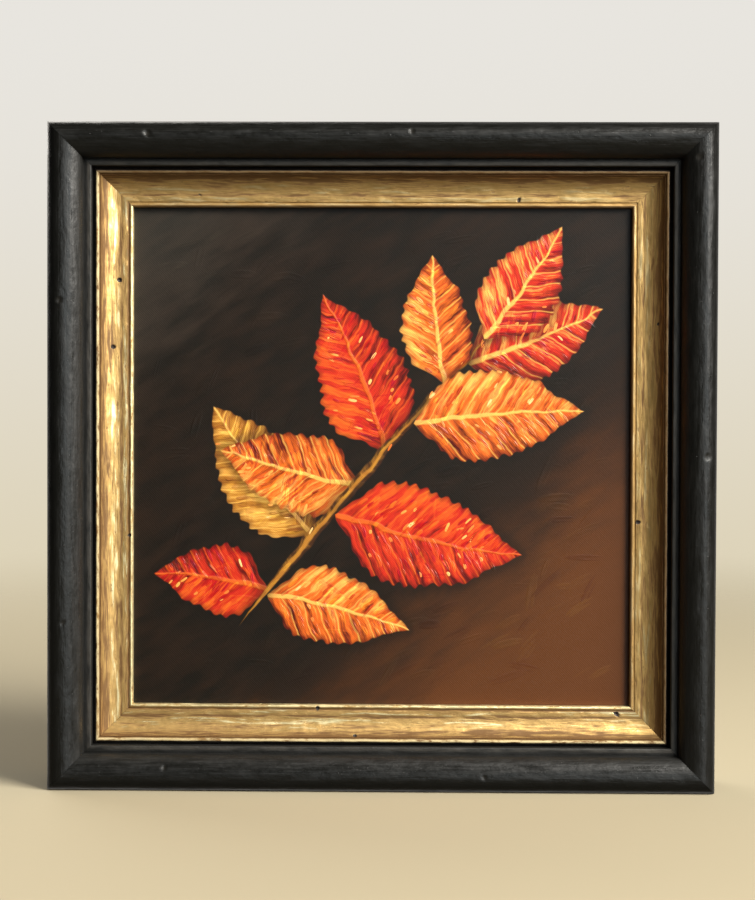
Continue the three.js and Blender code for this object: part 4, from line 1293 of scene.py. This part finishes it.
def brush_stroke():
    """A stroke of paint, one unit long, wide and high, bowed and ridged by the bristles, flat underneath."""
    shape = bmesh.new()
    ridges = (0.0, 0.8, 0.55, 1.0, 0.0)
    columns = 6
    rows = []
    for i in range(columns + 1):
        x = -0.5 + i / columns
        fade = max(0.0, 1 - abs(2 * x) ** 3)
        bow = 0.1 * (1 - 4 * x * x)
        width = 0.12 + 0.88 * fade
        rows.append(
            [
                shape.verts.new((x, -ridge * (0.15 + 0.85 * fade), bow + width * (k / 4 - 0.5)))
                for k, ridge in enumerate(ridges)
            ]
        )
    for near, far in zip(rows, rows[1:]):
        for k in range(4):
            shape.faces.new((near[k], near[k + 1], far[k + 1], far[k]))
    below = [row[0] for row in rows] + rows[-1][1:4] + [row[4] for row in reversed(rows)] + rows[0][3:0:-1]
    shape.faces.new(below)
    bmesh.ops.recalc_face_normals(shape, faces=shape.faces)
    return mesh_of("brush_stroke", shape, 80)


def leaf_half_width(leaf, run):
    """Half the leaf's width at a share of its length, in millimetres."""
    for (x0, y0), (x1, y1) in zip(LEAF_OUTLINE, LEAF_OUTLINE[1:]):
        if run <= x1:
            return leaf.half_width * (y0 + (y1 - y0) * (run - x0) / (x1 - x0))
    return 0.0


def on_leaf(leaf, run, across):
    """A point of the canvas, in millimetres, from a leaf's own length and width, and the vein's direction."""
    heading = math.radians(leaf.heading)
    side = across * leaf_half_width(leaf, run)
    reach = run * leaf.length
    rise = side + leaf.bend * leaf.length * run * (1 - run)
    x = leaf.base[0] + reach * math.cos(heading) - rise * math.sin(heading)
    z = leaf.base[1] + reach * math.sin(heading) + rise * math.cos(heading)
    slant = TWIG_SLANT if leaf == TWIG else math.atan2(1.0, VEIN_SLANT)
    return x, z, heading + math.copysign(slant, across)


def stroke_reach(leaf, run, across, wanted):
    """A stroke's length on a leaf, cut short where it would leave the outline."""
    if leaf == TWIG:
        return wanted
    return min(wanted, 0.8 + 2.2 * (1 - abs(across)) * leaf_half_width(leaf, run))


def stroke_place(x, z, angle, reach, lift, breadth, tint):
    """A stroke on the canvas's face, in millimetres; angle turns it from level."""
    sag = sizes().cloth_sag * (1 - (x / CANVAS_HALF) ** 2) * (1 - (z / CANVAS_HALF) ** 2)
    spot = (x * MM, CANVAS_LOW.y + 0.05 * MM + sag, CENTRE_HEIGHT + z * MM)
    return Place(spot, (0.0, -angle, 0.0), (reach * MM, lift * MM, breadth * MM), tint)


def paint_places(draw):
    """Broad strokes of the ground, then shorter ones along the veins of each leaf."""
    places = []
    for _ in range(GROUND_STROKES):
        x = draw.uniform(-GROUND_REACH, GROUND_REACH)
        z = draw.uniform(-GROUND_REACH, GROUND_REACH)
        angle = math.radians(BRUSH_SLANT + draw.gauss(0, 22))
        size = (draw.uniform(10, 22), draw.uniform(0.05, 0.12), draw.uniform(2.5, 5.5))
        places.append(stroke_place(x, z, angle, *size, draw.uniform(-0.5, 0.5)))
    for leaf in LEAVES:
        for _ in range(int(leaf.length * leaf.half_width / STROKE_AREA)):
            run = draw.uniform(0.1, 0.88)
            across = draw.uniform(-0.8, 0.8)
            x, z, angle = on_leaf(leaf, run, across)
            reach = stroke_reach(leaf, run, across, draw.uniform(3.5, 8.0))
            size = (reach, draw.uniform(0.08, 0.2), draw.uniform(0.9, 2.0))
            places.append(stroke_place(x, z, angle + draw.gauss(0, 0.15), *size, draw.uniform(-1, 1)))
    return places


def light_places(draw):
    """Short thick touches of light paint on the upper side of each leaf."""
    places = []
    for leaf in LEAVES:
        for _ in range(int(leaf.length * leaf.half_width / LIGHT_AREA)):
            run = draw.uniform(0.15, 0.85)
            across = draw.uniform(0.1, 0.8) * draw.choice((1, 1, -1))
            x, z, angle = on_leaf(leaf, run, across)
            reach = stroke_reach(leaf, run, across, draw.uniform(2.0, 5.0))
            size = (reach, draw.uniform(0.1, 0.18), draw.uniform(0.9, 1.7))
            places.append(stroke_place(x, z, angle + draw.gauss(0, 0.2), *size, draw.uniform(-1, 1)))
    return places


# Operators


class PICTURE_OT_black_rails(Operator):
    """Sweeps the four black rails and knocks their faces"""

    bl_idname = "picture.black_rails"
    bl_label = "Black rails"

    def execute(self, context):
        chosen = context.scene.picture_sizes
        finish = dict.fromkeys(SIDES, satin_black_lacquer())
        section = rail_section()
        wave = Wave(chosen.rail_wave, length=14 * MM, width=4 * MM)
        shape = (section, KNOCKS, chosen.outer_half, chosen.rail_steps, wave)
        build_mouldings("black_rail", "rail", "black_moulding", *shape, finish)
        return {"FINISHED"}


class PICTURE_OT_gilt_slip(Operator):
    """Sweeps the four gilt slips and bores their worm holes"""

    bl_idname = "picture.gilt_slip"
    bl_label = "Gilt slip"

    def execute(self, context):
        chosen = context.scene.picture_sizes
        # Painted highlights on the bottom and left slips, painted shade on the top and right ones
        bright = rubbed_gilt("rubbed_gilt_bright", LIT_SIDE_GILT)
        dull = rubbed_gilt("rubbed_gilt_dull", SHADED_SIDE_GILT)
        finish = {"top": dull, "right": dull, "bottom": bright, "left": bright}
        section = slip_section()
        wave = Wave(chosen.slip_wave, length=9 * MM, width=3 * MM)
        shape = (section, WORM_HOLES, chosen.outer_half, chosen.slip_steps, wave)
        build_mouldings("gilt_slip", "slip", "gilt_slip", *shape, finish)
        return {"FINISHED"}


class PICTURE_OT_canvas(Operator):
    """Stretches the cloth and lays the raised strokes of paint on it"""

    bl_idname = "picture.canvas"
    bl_label = "Painted canvas"

    def execute(self, context):
        cloth = new_object("stretched_canvas", stretched_cloth())
        paint = oil_paint()
        cloth.data.materials.append(paint)
        cotton = bare_cotton()
        cloth.data.materials.append(cotton)
        keep(cloth, "painted_canvas", "canvas")
        hem = (0.0, CANVAS_HIGH.y, CENTRE_HEIGHT)
        quarters = [Place(hem, (0.0, turns * math.pi / 2, 0.0), WHOLE, 0.0) for turns in range(4)]
        flaps = place_copies("corner_folds", corner_flap(), quarters, cotton)
        keep(flaps, "painted_canvas")
        draw = random.Random(41)
        strokes = place_copies("paint_strokes", brush_stroke(), paint_places(draw), paint)
        keep(strokes, "painted_canvas")
        lights = place_copies("paint_lights", brush_stroke(), light_places(draw), thick_paint())
        keep(lights, "painted_canvas")
        return {"FINISHED"}


class PICTURE_OT_stretcher(Operator):
    """Planes the stretcher bars, cuts their slots and drives the keys into the corners"""

    bl_idname = "picture.stretcher"
    bl_label = "Stretcher and keys"

    def execute(self, context):
        colours = finishes()
        pine = {}
        for turns, side in enumerate(SIDES):
            turn = (0.0, math.pi / 2 * (turns % 2), 0.0)
            name = "planed_pine_" + side
            grain = {"along": 60, "ring": 9, "turn": turn, "shift": 230.0 * turns}
            pine[side] = sawn_wood(name, colours.pine, colours.pine_grain, **grain)
        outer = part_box("stretcher_top")[1].z - CENTRE_HEIGHT
        section = bar_section(context.scene.picture_sizes.edge_round / MM)
        wave = Wave(depth=0.1 * MM, length=40 * MM, width=8 * MM)
        steps = 60
        shape = (section, BAR_DENTS, outer, steps, wave)
        bars = build_mouldings("pine_bar", "stretcher", "stretcher_pine", *shape, pine)
        room = Vector((0.3, 0.3, 0.3)) * MM
        for side, bar in bars.items():
            keys = [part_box(f"key_{side}_{end}") for end in ENDS]
            carved(bar, [(low - room, high + room) for low, high in keys])
        late_beech = linear("#a87443")
        beech = sawn_wood("sawn_beech", colours.beech, late_beech, along=12, ring=2, turn=UNTURNED)
        nodes = [f"key_{side}_{end}" for side in SIDES for end in ENDS]
        keep(softened("corner_keys", nodes, 0.3 * MM, beech), "key_beech", *nodes)
        return {"FINISHED"}


def zinc_plate():
    """Zinc on strips, screws, staples and mitre angles."""
    return plated_steel("zinc_plated_steel", finishes().zinc, linear("#8b8d88"))


def brass_plate():
    """Brass on the hanging plate and its nails."""
    return plated_steel("brass_plated_steel", finishes().brass, linear("#8f7136"))


def bent_wire(name, bends, thick, wide, sides):
    """A flat wire that follows bends drawn in x and y, with rounded edges; everything in millimetres."""
    # 1 gives an oval wire, and less a squarer one
    squareness = 0.6
    shape = bmesh.new()
    rings = []
    for i, (x, y) in enumerate(bends):
        before, after = bends[max(i - 1, 0)], bends[min(i + 1, len(bends) - 1)]
        way = Vector((after[0] - before[0], after[1] - before[1])).normalized()
        ring = []
        for k in range(sides):
            t = 2 * math.pi * (k + 0.5) / sides
            out = thick / 2 * math.copysign(abs(math.cos(t)) ** squareness, math.cos(t))
            up = wide / 2 * math.copysign(abs(math.sin(t)) ** squareness, math.sin(t))
            ring.append(shape.verts.new(Vector((x - way.y * out, y + way.x * out, up)) * MM))
        rings.append(ring)
    for near, far in zip(rings, rings[1:]):
        for k in range(sides):
            n = (k + 1) % sides
            shape.faces.new((near[k], near[n], far[n], far[k]))
    shape.faces.new(rings[0])
    shape.faces.new(rings[-1])
    bmesh.ops.recalc_face_normals(shape, faces=shape.faces)
    return mesh_of(name, shape, 50)


class PICTURE_OT_staples(Operator):
    """Bends one wire staple and sets it along the hem"""

    bl_idname = "picture.staples"
    bl_label = "Staples"

    def execute(self, context):
        left_bend = arc((-4.0, -0.65), (0.65, 0.65), 180, 90, 4)
        right_bend = arc((4.0, -0.65), (0.65, 0.65), 90, 0, 4)
        bends = [(-4.65, -4.8), *left_bend, *right_bend, (4.65, -4.8)]
        wire = bent_wire("staple_wire", bends, 0.7, 1.2, 10)
        # The crown is pressed on the hem
        crown = CANVAS_HIGH.y + 0.35 * MM
        draw = random.Random(5)
        places = []
        nodes = []
        for side in SIDES:
            for spot in (1, 2, 3):
                node = f"staple_{side}_{spot}"
                centre = middle(node)
                turn = (0.0, SIDES.index(side) * math.pi / 2 + draw.uniform(-0.05, 0.05), 0.0)
                places.append(Place((centre.x, crown, centre.z), turn, WHOLE, 0.0))
                nodes.append(node)
        zinc = shared(bpy.data.materials, "zinc_plated_steel", zinc_plate)
        keep(place_copies("hem_staples", wire, places, zinc), "zinc_steel", *nodes)
        return {"FINISHED"}


class PICTURE_OT_hanging_plate(Operator):
    """Softens the toothed plate's edges and drives its two nails"""

    bl_idname = "picture.hanging_plate"
    bl_label = "Hanging plate"

    def execute(self, context):
        brass = brass_plate()
        keep(softened("toothed_plate", ["hanger"], 0.15 * MM, brass), "brass_plate", "hanger")
        dome = arc((0.0, 1.15), (1.6, 0.65), 0, 90, 5)[:-1]
        profile = [(0.0, -9.0), (0.7, -7.6), (0.7, 1.1), (1.5, 1.1), *dome, (0.0, 1.8)]
        nodes = ["hanger_nail_1", "hanger_nail_2"]
        places = []
        for node in nodes:
            centre = middle(node)
            places.append(Place((centre.x, BACK_PLANE, centre.z), UNTURNED, WHOLE, 0.0))
        nails = place_copies("plate_nails", turned("plate_nail", profile, 24), places, brass)
        keep(nails, "brass_plate", *nodes)
        return {"FINISHED"}


class PICTURE_OT_retaining_strips(Operator):
    """Softens the steel strips that hold the canvas in and drives their screws"""

    bl_idname = "picture.retaining_strips"
    bl_label = "Strips and screws"

    def execute(self, context):
        zinc = shared(bpy.data.materials, "zinc_plated_steel", zinc_plate)
        strips = [f"clip_{side}_{end}" for side in ("left", "right") for end in ENDS]
        keep(softened("retaining_strips", strips, 0.25 * MM, zinc), "zinc_steel", *strips)
        dome = arc((0.0, 2.0), (3.0, 1.2), 0, 90, 7)[:-1]
        profile = [(0.0, -10.0), (0.9, -8.5), (1.5, -5.5), (1.5, 1.5), (2.9, 1.5), *dome, (0.0, 3.2)]
        screw = new_object("pan_head_screw", turned("pan_head_screw", profile, 32))
        level = Vector((1.7, 1.1, 0.45)) * MM
        upright = Vector((0.45, 1.1, 1.7)) * MM
        recess = Vector((0.0, 3.1, 0.0)) * MM
        carved(screw, [(recess - arm, recess + arm) for arm in (level, upright)])
        nodes = [name.replace("clip", "screw") + end for name in strips for end in ("_rail", "_bar")]
        draw = random.Random(8)
        places = []
        for node in nodes:
            centre = middle(node)
            turn = (0.0, draw.uniform(0, math.pi), 0.0)
            places.append(Place((centre.x, BACK_PLANE, centre.z), turn, WHOLE, 0.0))
        keep(place_copies("strip_screws", screw.data, places, zinc), "zinc_steel", *nodes)
        bpy.data.objects.remove(screw)
        return {"FINISHED"}


class PICTURE_OT_mitre_nails(Operator):
    """Drives the steel angles across the mitres, almost flush with the back"""

    bl_idname = "picture.mitre_nails"
    bl_label = "Mitre nails"

    def execute(self, context):
        nodes = ["mitre_nail_" + side for side in SIDES]
        zinc = shared(bpy.data.materials, "zinc_plated_steel", zinc_plate)
        nails = softened("mitre_angles", nodes, 0.08 * MM, zinc)
        # The solids are sunk a little, and the angles stand 0.05 mm proud of the back
        rise = 0.35 * MM
        for point in nails.data.vertices:
            point.co.y += rise
        keep(nails, "zinc_steel", *nodes)
        return {"FINISHED"}


class PICTURE_OT_felt_pads(Operator):
    """Punches the felt pads and sticks them to the lower corners"""

    bl_idname = "picture.felt_pads"
    bl_label = "Felt pads"

    def execute(self, context):
        nodes = ["felt_pad_left", "felt_pad_right"]
        low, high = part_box(nodes[0])
        radius = (high.x - low.x) / 2 / MM
        tall = (high.y - BACK_PLANE) / MM
        rim = arc((radius - 0.7, tall - 0.7), (0.6, 0.65), 0, 90, 4)
        side = [(radius - 0.15, 0.0), (radius - 0.05, 0.8), (radius - 0.2, 1.7)]
        top = [(radius - share, tall - 0.1) for share in (1.4, 2.4, 3.6)]
        disc = turned("felt_disc", [(0.0, 0.0), *side, *rim, *top, (0.0, tall - 0.08)], 64)
        draw = random.Random(3)
        for point in disc.vertices:
            pull = draw.uniform(0.985, 1.0)
            point.co.x *= pull
            point.co.z *= pull
            if point.co.y > 0.5 * tall * MM:
                point.co.y -= draw.uniform(0.0, 0.12) * MM
        places = []
        for turn, node in enumerate(nodes):
            centre = middle(node)
            places.append(Place((centre.x, BACK_PLANE, centre.z), (0.0, turn * 1.3, 0.0), WHOLE, 0.0))
        keep(place_copies("felt_discs", disc, places, pressed_felt()), "felt", *nodes)
        return {"FINISHED"}


# Stage

# Camera that matches the photograph: place in metres, turn in radians, lens and sensor in millimetres
CAMERA_PLACE = (0.011245, -0.8, -0.100284)
CAMERA_TURN = (math.pi / 2 - 0.0225021, -0.00364194, 0.0165553)
CAMERA_LENS = 79.74
CAMERA_SENSOR = 36.0
# Sizes in metres, and ways from the picture's middle to the lights
FLOOR_HALF = 4.0
LAMP_DISTANCE = 1.8
KEY_LAMP_SIDE = 0.9
BACK_LAMP_SIDE = 1.4
LIGHT_WAY = Vector((0.6, -0.52, 0.52)).normalized()
WINDOW_WAY = Vector((0.4, -0.9, 0.16)).normalized()
BACK_WAY = Vector((-0.55, 0.7, 0.55)).normalized()


def soft_sky(settings):
    """Even light from the upper right that fades to the other side; the camera sees only a pale backdrop."""
    world = bpy.data.worlds.new("soft_sky")
    world.use_nodes = True
    tree = world.node_tree
    tree.nodes.clear()
    way = add(tree, COORDINATES, out="Generated")
    toward = add(tree, VECTOR_MATH, {0: way, 1: LIGHT_WAY}, out="Value", operation="DOT_PRODUCT")
    fade = {"Value": toward, "From Min": 0.6, "From Max": 1.0}
    levels = {"To Min": settings.sky_dim, "To Max": settings.sky_bright}
    front = add(tree, RANGE, {**fade, **levels}, interpolation_type="SMOOTHSTEP")
    behind = add(tree, SPLIT, {"Vector": way}, out="Y")
    back = {"Value": behind, "From Min": 0.25, "From Max": 0.9, "To Max": settings.sky_back}
    back_level = add(tree, RANGE, back, interpolation_type="SMOOTHSTEP")
    # A window low on the right, which draws the long highlights on the upright rails
    sideways = add(tree, VECTOR_MATH, {0: way, 1: WINDOW_WAY}, out="Value", operation="DOT_PRODUCT")
    pane = {"Value": sideways, "From Min": 0.9, "From Max": 0.985, "To Max": settings.window}
    window_level = add(tree, RANGE, pane, interpolation_type="SMOOTHSTEP")
    both_sides = add(tree, MATH, {0: front, 1: back_level}, operation="MAXIMUM")
    level = add(tree, MATH, {0: both_sides, 1: window_level}, operation="ADD")
    warm = linear("#fdf8f0")
    cool = linear("#e8eff0")
    tint = add(tree, MIX, {0: window_level, 6: warm, 7: cool}, out=2, data_type="RGBA")
    light = add(tree, "ShaderNodeBackground", {"Color": tint, "Strength": level})
    rise = add(tree, SPLIT, {"Vector": way}, out="Z")
    horizon = {"Value": rise, "From Min": -0.2, "From Max": 0.2}
    high = add(tree, RANGE, horizon, interpolation_type="SMOOTHSTEP")
    shades = {0: high, 6: settings.backdrop_low, 7: settings.backdrop}
    backdrop = add(tree, MIX, shades, out=2, data_type="RGBA")
    seen = add(tree, "ShaderNodeBackground", {"Color": backdrop})
    from_camera = add(tree, "ShaderNodeLightPath", out="Is Camera Ray")
    both = add(tree, "ShaderNodeMixShader", {0: from_camera, 1: light, 2: seen})
    add(tree, "ShaderNodeOutputWorld", {"Surface": both})
    return world


def soft_lamp(name, way, power, side):
    """A square lamp set off from the picture's middle and turned towards it."""
    lamp = bpy.data.lights.new(name, "AREA")
    lamp.energy = power
    lamp.color = linear("#fffaf1")[:3]
    lamp.size = side
    made = new_object(name, lamp)
    made.location = Vector((0.0, 0.0, CENTRE_HEIGHT)) + way * LAMP_DISTANCE
    made.rotation_euler = way.to_track_quat("Z", "Y").to_euler()


class PICTURE_OT_stage(Operator):
    """Sets the floor, the soft light and the camera"""

    bl_idname = "picture.stage"
    bl_label = "Stage"

    def execute(self, context):
        scene = context.scene
        settings = scene.picture_stage
        ground = bpy.data.meshes.new("paper_floor")
        half = FLOOR_HALF
        corners = [(-half, -half), (half, -half), (half, half), (-half, half)]
        ground.from_pydata([(x, y, FRAME_BOTTOM) for x, y in corners], [], [(0, 1, 2, 3)])
        ground.materials.append(seamless_paper())
        new_object("paper_floor", ground)

        scene.world = soft_sky(settings)
        scene.view_settings.view_transform = "Standard"
        soft_lamp("soft_key", LIGHT_WAY, settings.key_power, KEY_LAMP_SIDE)
        soft_lamp("soft_back", BACK_WAY, settings.back_power, BACK_LAMP_SIDE)

        lens = bpy.data.cameras.new("camera")
        lens.lens = CAMERA_LENS
        lens.sensor_width = CAMERA_SENSOR
        camera = new_object("camera", lens)
        camera.location = CAMERA_PLACE
        camera.rotation_euler = CAMERA_TURN
        scene.camera = camera
        return {"FINISHED"}


class PICTURE_PT_panel(Panel):
    """Lists the steps that build the picture, and the values they use"""

    bl_idname = "PICTURE_PT_panel"
    bl_label = "Framed picture"
    bl_space_type = "VIEW_3D"
    bl_region_type = "UI"
    bl_category = "Picture"

    def draw(self, context):
        for step in STEPS:
            self.layout.operator(step.bl_idname)
        for group in VALUE_GROUPS:
            settings = getattr(context.scene, group)
            for name in settings.bl_rna.properties.keys():
                if name not in ("rna_type", "name"):
                    self.layout.prop(settings, name)


STEPS = (
    PICTURE_OT_black_rails,
    PICTURE_OT_gilt_slip,
    PICTURE_OT_canvas,
    PICTURE_OT_stretcher,
    PICTURE_OT_staples,
    PICTURE_OT_hanging_plate,
    PICTURE_OT_retaining_strips,
    PICTURE_OT_mitre_nails,
    PICTURE_OT_felt_pads,
    PICTURE_OT_stage,
)
VALUE_GROUPS = {
    "picture_sizes": PictureSizes,
    "picture_finishes": FinishColours,
    "picture_paints": PaintColours,
    "picture_stage": StageSettings,
}


def register():
    """Adds the classes and the values that a scene holds."""
    for group in (*VALUE_GROUPS.values(), *STEPS, PICTURE_PT_panel):
        bpy.utils.register_class(group)
    for name, group in VALUE_GROUPS.items():
        setattr(bpy.types.Scene, name, PointerProperty(type=group))


def unregister():
    """Takes the values and the classes away again."""
    for name in VALUE_GROUPS:
        delattr(bpy.types.Scene, name)
    for group in (PICTURE_PT_panel, *reversed(STEPS), *VALUE_GROUPS.values()):
        bpy.utils.unregister_class(group)


def main():
    """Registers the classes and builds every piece."""
    register()
    bpy.ops.picture.black_rails()
    bpy.ops.picture.gilt_slip()
    bpy.ops.picture.canvas()
    bpy.ops.picture.stretcher()
    bpy.ops.picture.staples()
    bpy.ops.picture.hanging_plate()
    bpy.ops.picture.retaining_strips()
    bpy.ops.picture.mitre_nails()
    bpy.ops.picture.felt_pads()
    bpy.ops.picture.stage()


if __name__ == "__main__":
    main()
